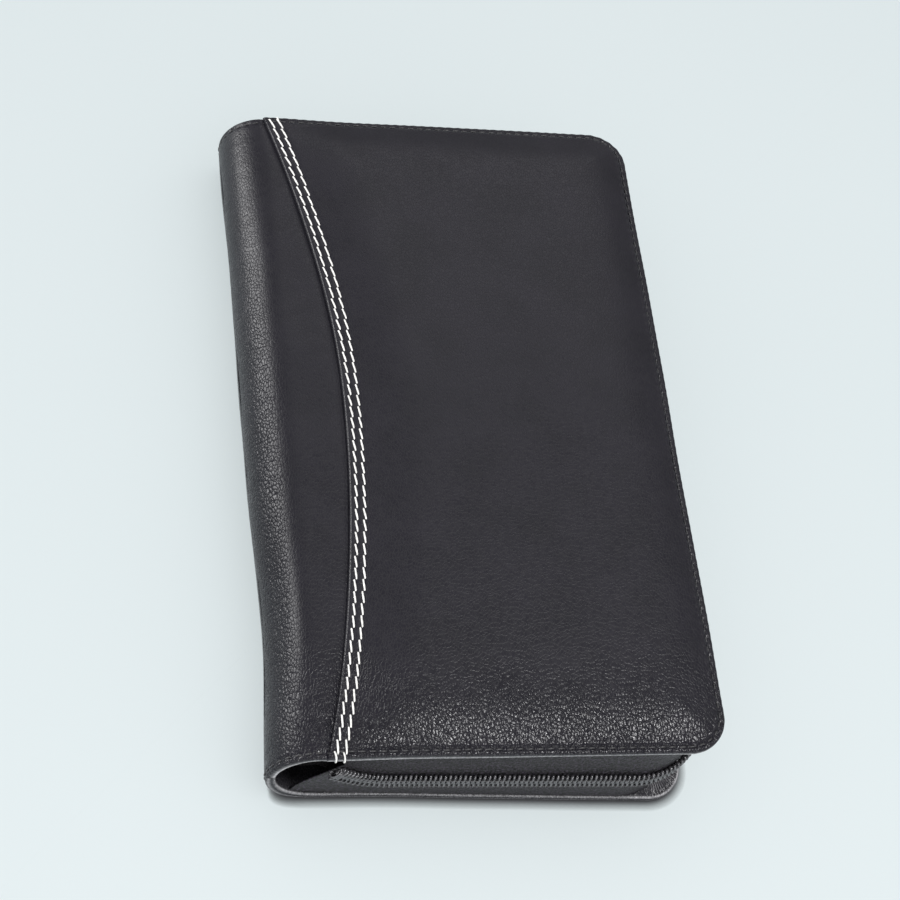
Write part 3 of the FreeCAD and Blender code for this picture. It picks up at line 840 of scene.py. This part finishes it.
def stitch(at, direction, depth, length, radius, lift, sides, rings):
    """One stitch on flat leather: a short thread of two plies that dives in at both ends."""
    q = np.linspace(-1, 1, rings)
    theta = np.arange(sides) * math.tau / sides
    dive = np.abs(q) ** 10
    bend = lift * (1 - q ** 2) - dive * radius * 2.0
    swell = radius * (1 - 0.45 * q ** 6)
    twist = theta[None, :] - q[:, None] * 3.6
    r = swell[:, None] * (1 + 0.12 * np.cos(2 * twist))
    side = r * np.cos(theta)[None, :]
    up = r * np.sin(theta)[None, :] * 0.85 + bend[:, None] + radius * 0.45
    along = np.array(direction)
    across = np.array([-along[1], along[0]])
    s = at[0] + along[0] * (q * length / 2)[:, None] + across[0] * side
    v = at[1] + along[1] * (q * length / 2)[:, None] + across[1] * side
    points = np.stack([s, v, depth - up], 2).reshape(-1, 3)
    return points, [face[::-1] for face in ring_faces(rings, sides)]


def depth_at(depth, s, v):
    """The depth of a face at one point."""
    return float(depth(np.array([s]), np.array([v]))[0])


def turned(direction, degrees):
    """A flat direction turned anticlockwise."""
    c, s = math.cos(math.radians(degrees)), math.sin(math.radians(degrees))
    return direction[0] * c - direction[1] * s, direction[0] * s + direction[1] * c


def seam_row(name, node, offset, seed, wraps=2):
    """White stitches along the seam, slightly slanted and never quite alike."""
    rng = np.random.default_rng(seed)
    radius = SEAM_RADIUS + offset
    reach = HALF_HEIGHT - 1.2
    first = math.asin((-reach - SEAM_CENTRE[1]) / radius)
    last = math.asin((reach - SEAM_CENTRE[1]) / radius)
    count = round((last - first) * radius / WHITE_PITCH)
    step = (last - first) / count
    parts = []
    for k in range(count):
        angle = first + (k + 0.5) * step
        at = SEAM_CENTRE + radius * np.array([math.cos(angle), math.sin(angle)])
        at = at + [hand_cut(at[1]), 0] + rng.normal(0, 0.06, 2)
        slant = WHITE_SLANT + 3.0 * max(0.0, -at[1] / HALF_HEIGHT)
        direction = turned((-math.sin(angle), math.cos(angle)), slant + rng.normal(0, 1.2))
        depth = depth_at(panel_depth, at[0], at[1])
        parts.append(stitch(at, direction, depth, WHITE_LENGTH, WHITE_RADIUS, lift=0.14, sides=10, rings=13))
    for end, sign in ((first, -1), (last, 1))[:wraps]:
        at = SEAM_CENTRE + radius * np.array([math.cos(end), math.sin(end)])
        parts.append(end_wrap(at, sign))
    points, faces = join(parts)
    row = make(name, points, faces, on_front, WHITE_THREAD)
    settle(row, "front_cover", node)


def end_wrap(at, sign):
    """The thread that goes over the edge at the end of a row of white stitches."""
    out = HALF_HEIGHT + 0.25
    lean = 0.35 * sign
    depth = depth_at(panel_depth, at[0], sign * (HALF_HEIGHT - 2))
    line = [
        (at[0] + 1.2 * lean, sign * (HALF_HEIGHT - 2.2), depth + 0.3),
        (at[0] + 0.6 * lean, sign * (HALF_HEIGHT - 1.2), depth - 0.15),
        (at[0], sign * (out - 0.45), depth + 0.1),
        (at[0] - 0.3 * lean, sign * (out + 0.1), depth + 1.0),
        (at[0] - 0.6 * lean, sign * (out + 0.1), depth + 2.3),
        (at[0] - 0.8 * lean, sign * (out - 0.5), depth + 3.2),
        (at[0] - lean, sign * (out - 1.6), depth + 3.4),
    ]
    return tube(soften(line, 4), WHITE_RADIUS, 8, up=(1.0, 0.0, 0.0))


def soften(line, steps):
    """A smooth line through the given points (Catmull-Rom)."""
    line = np.asarray(line, float)
    padded = np.concatenate([[2 * line[0] - line[1]], line, [2 * line[-1] - line[-2]]])
    out = []
    for k in range(len(line) - 1):
        a, b, c, d = padded[k:k + 4]
        for t in np.arange(steps) / steps:
            out.append(0.5 * (2 * b + (c - a) * t + (2 * a - 5 * b + 4 * c - d) * t * t
                              + (3 * b - a - 3 * c + d) * t ** 3))
    out.append(line[-1])
    return np.array(out)


def edge_point(run, length, back=EDGE_ROW):
    """Point and direction on a cover's edge row, at a length along it."""
    straight, arc = length - CORNER, CORNER - back
    side = HALF_HEIGHT - CORNER
    half = straight + arc * math.pi / 2 + side
    mirrored = run > half
    part = 2 * half - run if mirrored else run
    if part < straight:
        at, way = (part, -(HALF_HEIGHT - back)), (1.0, 0.0)
    elif part < straight + arc * math.pi / 2:
        turn = (part - straight) / arc
        at = (straight + arc * math.sin(turn), -side - arc * math.cos(turn))
        way = (math.cos(turn), math.sin(turn))
    else:
        at, way = (length - back, part - half), (0.0, 1.0)
    if mirrored:
        at, way = (at[0], -at[1]), (-way[0], way[1])
    return np.array(at), way, 2 * half


def edge_stitches(name, place, length, depth, seed):
    """Black stitches all round a skin's free edges, and across the ends of the spine."""
    rng = np.random.default_rng(seed)
    whole = edge_point(0.0, length)[2]
    runs = np.arange(-HALF_SPINE + BLACK_PITCH / 2, whole + HALF_SPINE, BLACK_PITCH)
    parts = []
    for run in runs:
        at, way, _ = edge_point(run, length)
        at = at + rng.normal(0, 0.04, 2)
        w = depth_at(depth, at[0], at[1])
        parts.append(stitch(at, turned(way, 3), w, BLACK_LENGTH, BLACK_RADIUS, lift=0.1, sides=6, rings=7))
    points, faces = join(parts)
    row = make(name, points, faces, place, EDGE_THREAD)
    bend_over_fold(row, place)


def front_outer(s, v):
    """Outer face of the front, on whichever side of the seam a point lies."""
    return np.where(from_seam(s, v) > 0.4, panel_depth(s, v), spine_depth(s, v))


def stitch_pieces():
    """The two white rows beside the seam, and the black rows round the edges."""
    seam_row("seam_stitches_near", "seam_stitches_inner", SEAM_ROWS[0], 11, wraps=1)
    seam_row("seam_stitches_far", "seam_stitches_outer", SEAM_ROWS[1], 12)
    edge_stitches("rear_edge_stitches", on_rear, REAR_LENGTH, rear_depth, 5)
    edge_stitches("front_edge_stitches", on_front, FRONT_LENGTH, front_outer, 6)


# ---- lining

def lining_depth(s):
    """Inner face of the lining: over the board on a cover, on bare leather round the spine."""
    return BARE_LINING + (COVER - BARE_LINING) * smooth_step(s, -5, 3)


def lining_sheet(name, place, length, *nodes):
    """The lining cloth of one cover and its half of the spine, drawn in where leather shows."""
    reach, half, radius = length - LINING_INSET, HALF_HEIGHT - LINING_INSET, ZIP_CORNER - LINING_INSET
    slowing = 1 - 0.2 * np.cos(np.linspace(0, math.pi / 2, 26))
    share = np.concatenate([np.linspace(0, 0.8, 70), slowing[1:]])
    s = -HALF_SPINE + share * (reach + HALF_SPINE)
    past = np.clip(s - (reach - radius), 0, radius)
    edge = half - radius + np.sqrt(radius ** 2 - past ** 2)
    edge = edge - 6.5 * (1 - smooth_step(s, 3, 14))
    b = np.linspace(-1, 1, 120)
    ss = np.broadcast_to(s, (len(b), len(s)))
    vv = b[:, None] * edge[None]
    sunk = lining_depth(ss) + 0.12 * ripple(ss, vv, 30.0, 31) - 0.15
    inner = np.stack([ss, vv, sunk], 2)
    outer = np.stack([ss, vv, sunk - LINING_THICK], 2)
    points, faces = two_sided(outer, inner)
    cloth = make(name, points, faces, place, LINING)
    bend_over_fold(cloth, place)
    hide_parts(*nodes)


def lining_pieces():
    """The lining of each cover, with its half of the spine."""
    lining_sheet("rear_lining_cloth", on_rear, REAR_LENGTH, "rear_lining")
    lining_sheet("front_lining_cloth", on_front, FRONT_LENGTH, "front_lining", "spine_lining")


# ---- zip

def zip_plan(start_x, end_x):
    """The zip's line round three sides in plan, and its outward direction."""
    reach = SPINE_X + REAR_LENGTH
    half, radius = HALF_HEIGHT, ZIP_CORNER
    turn = np.linspace(0, math.pi / 2, 60)
    low = low_corner(reach, half, radius, turn)
    out_low = np.stack([np.sin(turn), -np.cos(turn)], 1)
    low_x = np.arange(start_x, reach - radius, 0.5)
    bottom = np.stack([low_x, np.full(len(low_x), -half)], 1)
    side = np.arange(-half + radius, half - radius, 0.5)[1:]
    right = np.stack([np.full(len(side), reach), side], 1)
    high_x = np.arange(reach - radius, end_x, -0.5)
    top = np.stack([high_x, np.full(len(high_x), half)], 1)
    line = np.concatenate([bottom, low, right, mirrored(low), top[1:]])
    out = np.concatenate([
        np.tile([0.0, -1.0], (len(bottom), 1)), out_low, np.tile([1.0, 0.0], (len(side), 1)),
        mirrored(out_low), np.tile([0.0, 1.0], (len(top) - 1, 1)),
    ])
    return line, out


def chain_z(x):
    """Height of the chain's middle, which rises towards the fore-edge with the covers' opening."""
    return CHAIN_HEIGHT + x * math.tan(CHAIN_SLOPE)


class Chain:
    """The middle line of the closed chain, with its outward and upward directions, by length."""

    def __init__(self):
        plan, out = zip_plan(RISE_X, END_X)
        straight = np.stack([plan[:, 0], plan[:, 1], chain_z(plan[:, 0])], 1)
        across = np.array([-math.sin(CHAIN_SLOPE), 0, math.cos(CHAIN_SLOPE)])
        centre = straight[0] + across * RISE_RADIUS
        turn = math.asin((RISE_X - START_X) / RISE_RADIUS)
        angle = np.linspace(turn, 0, 40)[:-1] - CHAIN_SLOPE
        rise = centre - RISE_RADIUS * np.stack([np.sin(angle), 0 * angle, np.cos(angle)], 1)
        self.line = np.concatenate([rise, straight])
        out = np.concatenate([np.tile([0.0, -1.0], (len(rise), 1)), out])
        self.out = np.concatenate([out, np.zeros((len(out), 1))], 1)
        steps = np.linalg.norm(np.diff(self.line, axis=0), axis=1)
        self.run = np.r_[0, np.cumsum(steps)]
        self.length = self.run[-1]
        along = np.gradient(self.line, axis=0)
        self.along = along / np.linalg.norm(along, axis=1)[:, None]
        self.up = np.cross(self.out, self.along)
        self.top_run = self.length - (SPINE_X + REAR_LENGTH - ZIP_CORNER - END_X)

    def at(self, run, out=0.0, up=0.0):
        """Points at lengths along the chain, moved outward and upward."""
        mixed = [np.stack([np.interp(run, self.run, a[:, k]) for k in range(3)], 1)
                 for a in (self.line, self.out, self.up)]
        out = np.broadcast_to(out, run.shape)[:, None]
        up = np.broadcast_to(up, run.shape)[:, None]
        return mixed[0] + mixed[1] * out + mixed[2] * up


CHAIN = Chain()


def coil_half(name, side, node, body):
    """One half of the coil: a flattened helix whose heads mesh with the other half's.

    Along the straight top run, where the slider travels, the heads leave it a slit.
    """
    run = np.arange(0.6, CHAIN.length - 0.2, COIL_PITCH / 12)
    phase = math.tau * run / COIL_PITCH + (0 if side > 0 else math.pi)
    parted = smooth_step(run, CHAIN.top_run - 6, CHAIN.top_run)
    head = COIL_HEAD + 1.14 * parted
    across = (head + COIL_HEEL) / 2 - (COIL_HEEL - head) / 2 * np.cos(phase)
    lean = 0.16 * np.sin(phase)
    line = CHAIN.at(run + lean, 1.0 + 0.6 * np.sin(phase), side * across)
    wire = COIL_WIRE * (1 + 0.16 * np.maximum(np.cos(phase), 0))
    points, faces = tube(line, wire, 6, up=(0.3, 0.2, 1.0))
    coil = make(name, points, faces, as_it_is, COIL)
    settle(coil, body, node)


def coil_thread(name, side, body):
    """The row of sewing thread that holds one half of the coil on its tape."""
    run = np.arange(0.4, CHAIN.length - 0.2, COIL_PITCH / 4)
    wave = 0.09 * np.cos(math.tau * run / COIL_PITCH)
    sideways = side * (2.0 + 0.05 * np.sin(math.tau * run / COIL_PITCH))
    points, faces = tube(CHAIN.at(run, 1.84 + wave, sideways), 0.13, 5, up=(0.3, 0.2, 1.0))
    thread = make(name, points, faces, as_it_is, BLACK_THREAD)
    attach(thread, body)


def tape_rows(side, run):
    """Lines along one half of the tape, from the slit between the coils to its cover."""
    slit = CHAIN.at(run, 0.0, side * TAPE_SLIT)
    coil_edge = CHAIN.at(run, 0.0, side * TAPE_EDGE)
    out = CHAIN.at(run, 1.0) - CHAIN.at(run, 0.0)
    foot, swept = (0.7, 7.0) if side < 0 else (1.2, 0.0)
    if side < 0:
        cover_z = np.full(len(run), REAR_RIM[1] + 0.1)
    else:
        u = (coil_edge[:, 0] - FRONT_X) / math.cos(TILT)
        deep = rim_thickness(u, FRONT_RIM) + 0.1
        cover_z = FRONT_Z + u * math.sin(TILT) - deep * math.cos(TILT)
    rows = []
    for share in np.linspace(0, 1, 4):
        rows.append(slit + (coil_edge - slit) * share)
    for share in np.linspace(0, 1, 12)[1:]:
        row = coil_edge.copy()
        row[:, 2] += (cover_z - coil_edge[:, 2]) * share
        row -= out * foot * share ** 1.3
        row[:, 0] -= swept * np.sin(share * math.pi / 2) * (1 - smooth_step(run, 0, 16))
        rows.append(row)
    return np.stack(rows) - out[None] * 0.05, out


def tape_half(name, side, node, body):
    """One half of the woven tape: out at the chain, and curving in to where a cover holds it."""
    run = np.arange(0, CHAIN.length + 0.4, 0.8)
    front_side, out = tape_rows(side, run)
    back_side = front_side - out[None] * TAPE_THICK
    points, faces = two_sided(front_side, back_side)
    across = np.repeat(np.r_[np.linspace(0, 3, 4), np.linspace(4, 14, 11)], len(run))
    grain = np.stack([np.tile(run, len(front_side)), across, 0 * across], 1)
    tape = make(name, points, faces, as_it_is, TAPE, np.concatenate([grain, grain]))
    settle(tape, body, node)


def start_tack():
    """Thread wound over both halves of the coil where the zip starts."""
    parts = []
    for k in range(6):
        around = np.linspace(0, math.tau, 28, endpoint=False)
        out = 0.75 + 1.15 * np.sin(around)
        across = 2.3 * np.cos(around)
        loop = CHAIN.at(np.full(29, 0.35 + 0.42 * k), np.r_[out, out[0]], np.r_[across, across[0]])
        parts.append(tube(loop, 0.24, 6, up=(0.9, 0.1, 0.3)))
    points, faces = join(parts)
    tack = make("zip_start_tack", points, faces, as_it_is, COIL)
    settle(tack, "rear_cover", "zip_start_stop")


def zip_pieces():
    """The tack at the start, and each half's coil, thread and tape."""
    start_tack()
    for word, side, body in (("rear", -1, "rear_cover"), ("front", 1, "front_cover")):
        coil_half(f"{word}_coil_helix", side, f"{word}_zip_coil", body)
        coil_thread(f"{word}_coil_thread", side, body)
        tape_half(f"{word}_tape_weave", side, f"{word}_zip_tape", body)


# ---- pockets

def pocket(name, place, u, v, base, swell, node, body, thick=0.9, seed=1):
    """A leather pocket sewn down on three sides, with its mouth along the high v side."""
    us = np.linspace(u[0], u[1], 90)
    vs = np.linspace(v[0], v[1], max(int((v[1] - v[0]) / 1.6), 12))
    uu, vv = np.meshgrid(us, vs)
    side = np.minimum(uu - u[0], u[1] - uu)
    foot = vv - v[0]
    open_up = smooth_step(side, 2.5, 16) * smooth_step(foot, 2.5, 16)
    hem = 0.35 * hump(v[1] - vv, 1.2) - 0.2 * hump(v[1] - vv - 3.0, 0.8)
    border = -0.2 * hump(side - 2.0, 0.8) - 0.2 * hump(foot - 2.0, 0.8)
    top = base + thick + swell * open_up + hem + border + 0.1 * ripple(uu, vv, 24.0, seed) * (1 + open_up)
    round_off = np.minimum(np.minimum(side, foot), v[1] - vv)
    face = top - 0.3 * np.exp(-round_off / 0.5)
    back = np.maximum(top - thick, base + 0.03 * side / (1 + side))
    points, faces = two_sided(np.stack([uu, vv, back], 2), np.stack([uu, vv, face], 2))
    piece = make(name, points, faces, place, POCKET_LEATHER)
    settle(piece, body, node)
    row = pocket_stitches(name, place, us, vs, face)
    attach(row, body)


def pocket_stitches(name, place, us, vs, face):
    """Black stitches round a pocket's three sewn sides and along its hem."""
    u, v = (us[0], us[-1]), (vs[0], vs[-1])
    parts = []
    lines = [((u[0] + 2, v[0] + 2), (u[1] - 2, v[0] + 2)), ((u[0] + 2, v[0] + 2), (u[0] + 2, v[1] - 1)),
             ((u[1] - 2, v[0] + 2), (u[1] - 2, v[1] - 1)), ((u[0] + 3, v[1] - 3), (u[1] - 3, v[1] - 3))]
    for start, end in lines:
        start, end = np.array(start), np.array(end)
        span = np.linalg.norm(end - start)
        way = (end - start) / span
        for run in np.arange(1.3, span, 2.8):
            at = start + way * run
            column = np.abs(us - at[0]).argmin()
            row = np.abs(vs - at[1]).argmin()
            points, faces = stitch(at, turned(tuple(way), 4), 0.0, 2.2, 0.22, lift=0.08, sides=6, rings=5)
            points[:, 2] = face[row, column] - points[:, 2]
            parts.append((points, [f[::-1] for f in faces]))
    points, faces = join(parts)
    return make(f"{name}_stitches", points, faces, place, BLACK_THREAD)


def pen_loop():
    """An elastic loop lying on the rear lining."""
    low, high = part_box("pen_loop")
    middle = (low.x + high.x) / 2 / MM - SPINE_X
    half = high.y / MM
    radius = (high.z - low.z) / 2 / MM
    sides, rings = 48, 20
    theta = np.arange(sides) * math.tau / sides
    v = np.linspace(-half, half, rings)
    layers = []
    for layer in (radius - 0.1, radius - 0.75):
        swell = (layer - 0.25 * hump(np.abs(v) - half, 1.5))[:, None]
        across = middle + swell * np.cos(theta)
        depth = COVER + radius + swell * np.sin(theta)
        layers.append(np.stack([across, np.repeat(v[:, None], sides, 1), depth], 2))
    points = np.concatenate([layers[0], layers[1][::-1]]).reshape(-1, 3)
    here = np.arange(len(points)).reshape(-1, sides)
    beyond = np.roll(here, -1, 0)
    faces = np.stack([beyond, np.roll(beyond, -1, 1), np.roll(here, -1, 1), here], 2).reshape(-1, 4)
    around = np.tile(theta * radius, 2 * rings)
    grain = np.stack([around, points[:, 1], 0 * around], 1)
    loop = make("pen_loop_elastic", points, faces, on_rear, ELASTIC, grain)
    settle(loop, "rear_cover", "pen_loop")


def pocket_pieces():
    """The ticket and passport pockets, the four staggered card slots and the pen loop."""
    pocket("ticket_pocket_leather", on_rear, (15.0, 113.0), (-105.0, 46.0), COVER, 4.4,
           "ticket_pocket", "rear_cover", seed=41)
    pocket("passport_pocket_leather", on_front, (14.0, 112.0), (-105.0, 0.0), COVER, 5.6,
           "passport_pocket", "front_cover", seed=42)
    for k in range(4):
        base = COVER + (3 - k) * 0.7
        pocket(f"card_slot_leather_{k + 1}", on_front, (15.0, 111.0), (6.0, 60.0 + 12 * k), base, 0.0,
               f"card_slot_{k + 1}", "front_cover", thick=0.6, seed=50 + k)
    pen_loop()


# ---- foam and board

def slab(name, place, length, inset_by, depths, material, node, body):
    """A flat layer inside a cover, cut back from the leather's edge and round-cornered."""
    half, far, radius = HALF_HEIGHT - inset_by, length - inset_by, CORNER - inset_by / 2
    turn = np.linspace(0, math.pi / 2, 12)
    corner = low_corner(far, half, radius, turn)
    outline = np.concatenate([[[2.5, -half]], corner, mirrored(corner), [[2.5, half]]])
    count = len(outline)
    layers = []
    for depth, back in zip((depths[0], depths[0] + 0.15, depths[1] - 0.15, depths[1]), (0.3, 0, 0, 0.3)):
        shrunk = outline - np.sign(outline - [length / 2, 0]) * back
        layers.append(np.column_stack([shrunk, np.full(count, depth)]))
    faces = [face[::-1] for face in ring_faces(len(layers), count)]
    piece = make(name, np.concatenate(layers), faces, place, material)
    piece.data.polygons.foreach_set("use_smooth", np.zeros(len(piece.data.polygons), bool))
    settle(piece, body, node)


def inner_layers():
    """The foam pad and the stiffening board inside each cover."""
    foam = plain_material("foam", (0.42, 0.42, 0.43, 1), (0.3, 0.3, 0.31, 1), 900.0)
    board = plain_material("board", (0.3, 0.27, 0.22, 1), (0.2, 0.18, 0.15, 1), 300.0)
    covers = (("rear", on_rear, REAR_LENGTH, 0.9), ("front", on_front, FRONT_LENGTH, 1.3))
    for word, place, length, top in covers:
        body = f"{word}_cover"
        slab(f"{word}_foam_pad", place, length, 7.0, (top, 2.0), foam, f"{word}_foam", body)
        slab(f"{word}_board_sheet", place, length, 5.0, (2.1, 2.85), board, f"{word}_board", body)


# ---- carried-over CAD nodes

def cad_materials():
    """The metal pieces keep their CAD shapes."""
    for node in ("rear_zip_end_stop", "front_zip_end_stop", "slider_body", "slider_bridge", "zip_pull"):
        piece = frame["nodes"][node]
        piece.data.materials.clear()
        piece.data.materials.append(METAL)


# ---- studio

def camera():
    """The camera stands to the lower left of the case and above it, leaning to one side."""
    azimuth, elevation, roll = (math.radians(a) for a in (-32.17, 54.43, 30.59))
    target, distance = Vector((0.0008, 0.0003, 0.012)), 0.7434
    back = Vector((
        math.sin(azimuth) * math.cos(elevation),
        -math.cos(azimuth) * math.cos(elevation),
        math.sin(elevation),
    ))
    right = (-back).cross(Vector((0, 0, 1))).normalized()
    up = right.cross(-back)
    leaned_right = right * math.cos(roll) + up * math.sin(roll)
    leaned_up = up * math.cos(roll) - right * math.sin(roll)
    turn = Matrix((leaned_right, leaned_up, back)).transposed().to_4x4()
    data = bpy.data.cameras.new("camera")
    data.lens, data.sensor_width = 92.99, 36.0
    data.clip_start, data.clip_end = 0.01, 20.0
    eye = bpy.data.objects.new("camera", data)
    eye.matrix_world = Matrix.Translation(target + back * distance) @ turn
    bpy.context.scene.collection.objects.link(eye)
    bpy.context.scene.camera = eye


def area_light(name, at, aim, size, power, only, shaded_by=None):
    """A soft rectangular lamp that lights one collection, shaded by all pieces or by one collection."""
    data = bpy.data.lights.new(name, "AREA")
    data.shape = "RECTANGLE"
    data.size, data.size_y = size
    data.energy = power
    lamp = bpy.data.objects.new(name, data)
    lamp.location = at
    lamp.rotation_mode = "QUATERNION"
    lamp.rotation_quaternion = (Vector(at) - Vector(aim)).to_track_quat("Z", "Y")
    bpy.context.scene.collection.objects.link(lamp)
    lamp.light_linking.receiver_collection = only
    if shaded_by is not None:
        lamp.light_linking.blocker_collection = shaded_by


def studio():
    """Even light from all round, and a pale floor with a painted contact shadow right under the case."""
    world = bpy.data.worlds.new("studio")
    world.use_nodes = True
    bpy.context.scene.world = world
    tree = world.node_tree
    sky = tree.nodes["Background"]
    sky.inputs["Color"].default_value = (0.90, 0.90, 0.92, 1)
    sky.inputs["Strength"].default_value = 0.42
    bpy.context.scene.view_settings.view_transform = "Standard"
    n = Nodes("pale_floor")
    where = n.local()
    colour = n.mix(n.noise(where, 3.0, 3.0), (0.76, 0.84, 0.85, 1), (0.79, 0.865, 0.875, 1))
    # Painted contact shadow: the floor goes nearly black where the case is within a few millimetres.
    painted_contact_shadow = n.add("ShaderNodeAmbientOcclusion", {"Distance": 0.0035})
    open_to_light = n.math("POWER", painted_contact_shadow.outputs["AO"], 5.0)
    colour = n.mix(open_to_light, (0.02, 0.02, 0.024, 1), colour)
    floor_material = n.finish(colour, 0.6)
    reach = 6.0
    mesh = bpy.data.meshes.new("floor")
    corners = [(-reach, -reach, 0), (reach, -reach, 0), (reach, reach, 0), (-reach, reach, 0)]
    mesh.from_pydata(corners, [], [(0, 1, 2, 3)])
    mesh.materials.append(floor_material)
    floor = bpy.data.objects.new("floor", mesh)
    floor.location.z = -0.0004
    bpy.context.scene.collection.objects.link(floor)


def glints():
    """Lamps for the case alone, from all round it, and one for the table alone."""
    case = bpy.data.collections.new("case")
    for piece in bpy.context.scene.objects:
        if piece.type == "MESH" and piece.name != "floor":
            case.objects.link(piece)
    area_light("back", (0.25, 1.1, 1.2), (0, 0.1, 0), (1.0, 0.5), 2.5, case)
    area_light("overhead", (0.24, -0.2, 1.0), (0, 0, 0.02), (0.3, 0.14), 8.6, case)
    area_light("left", (-0.8, 0.5, 0.33), (0, 0, 0.02), (0.35, 0.6), 7.5, case)
    area_light("low_left", (-0.75, -0.75, 0.22), (-0.05, -0.11, 0.015), (0.4, 0.25), 2.0, case)
    area_light("front", (0.05, -1.0, 0.27), (0, -0.1, 0.02), (0.9, 0.25), 4.2, case)
    table = bpy.data.collections.new("table")
    table.objects.link(bpy.data.objects["floor"])
    area_light("table", (0.1, -0.7, 2.2), (0, 0, 0), (2.4, 2.4), 47.0, table, table)


camera()
studio()
leather_pieces()
stitch_pieces()
lining_pieces()
zip_pieces()
pocket_pieces()
inner_layers()
cad_materials()
glints()
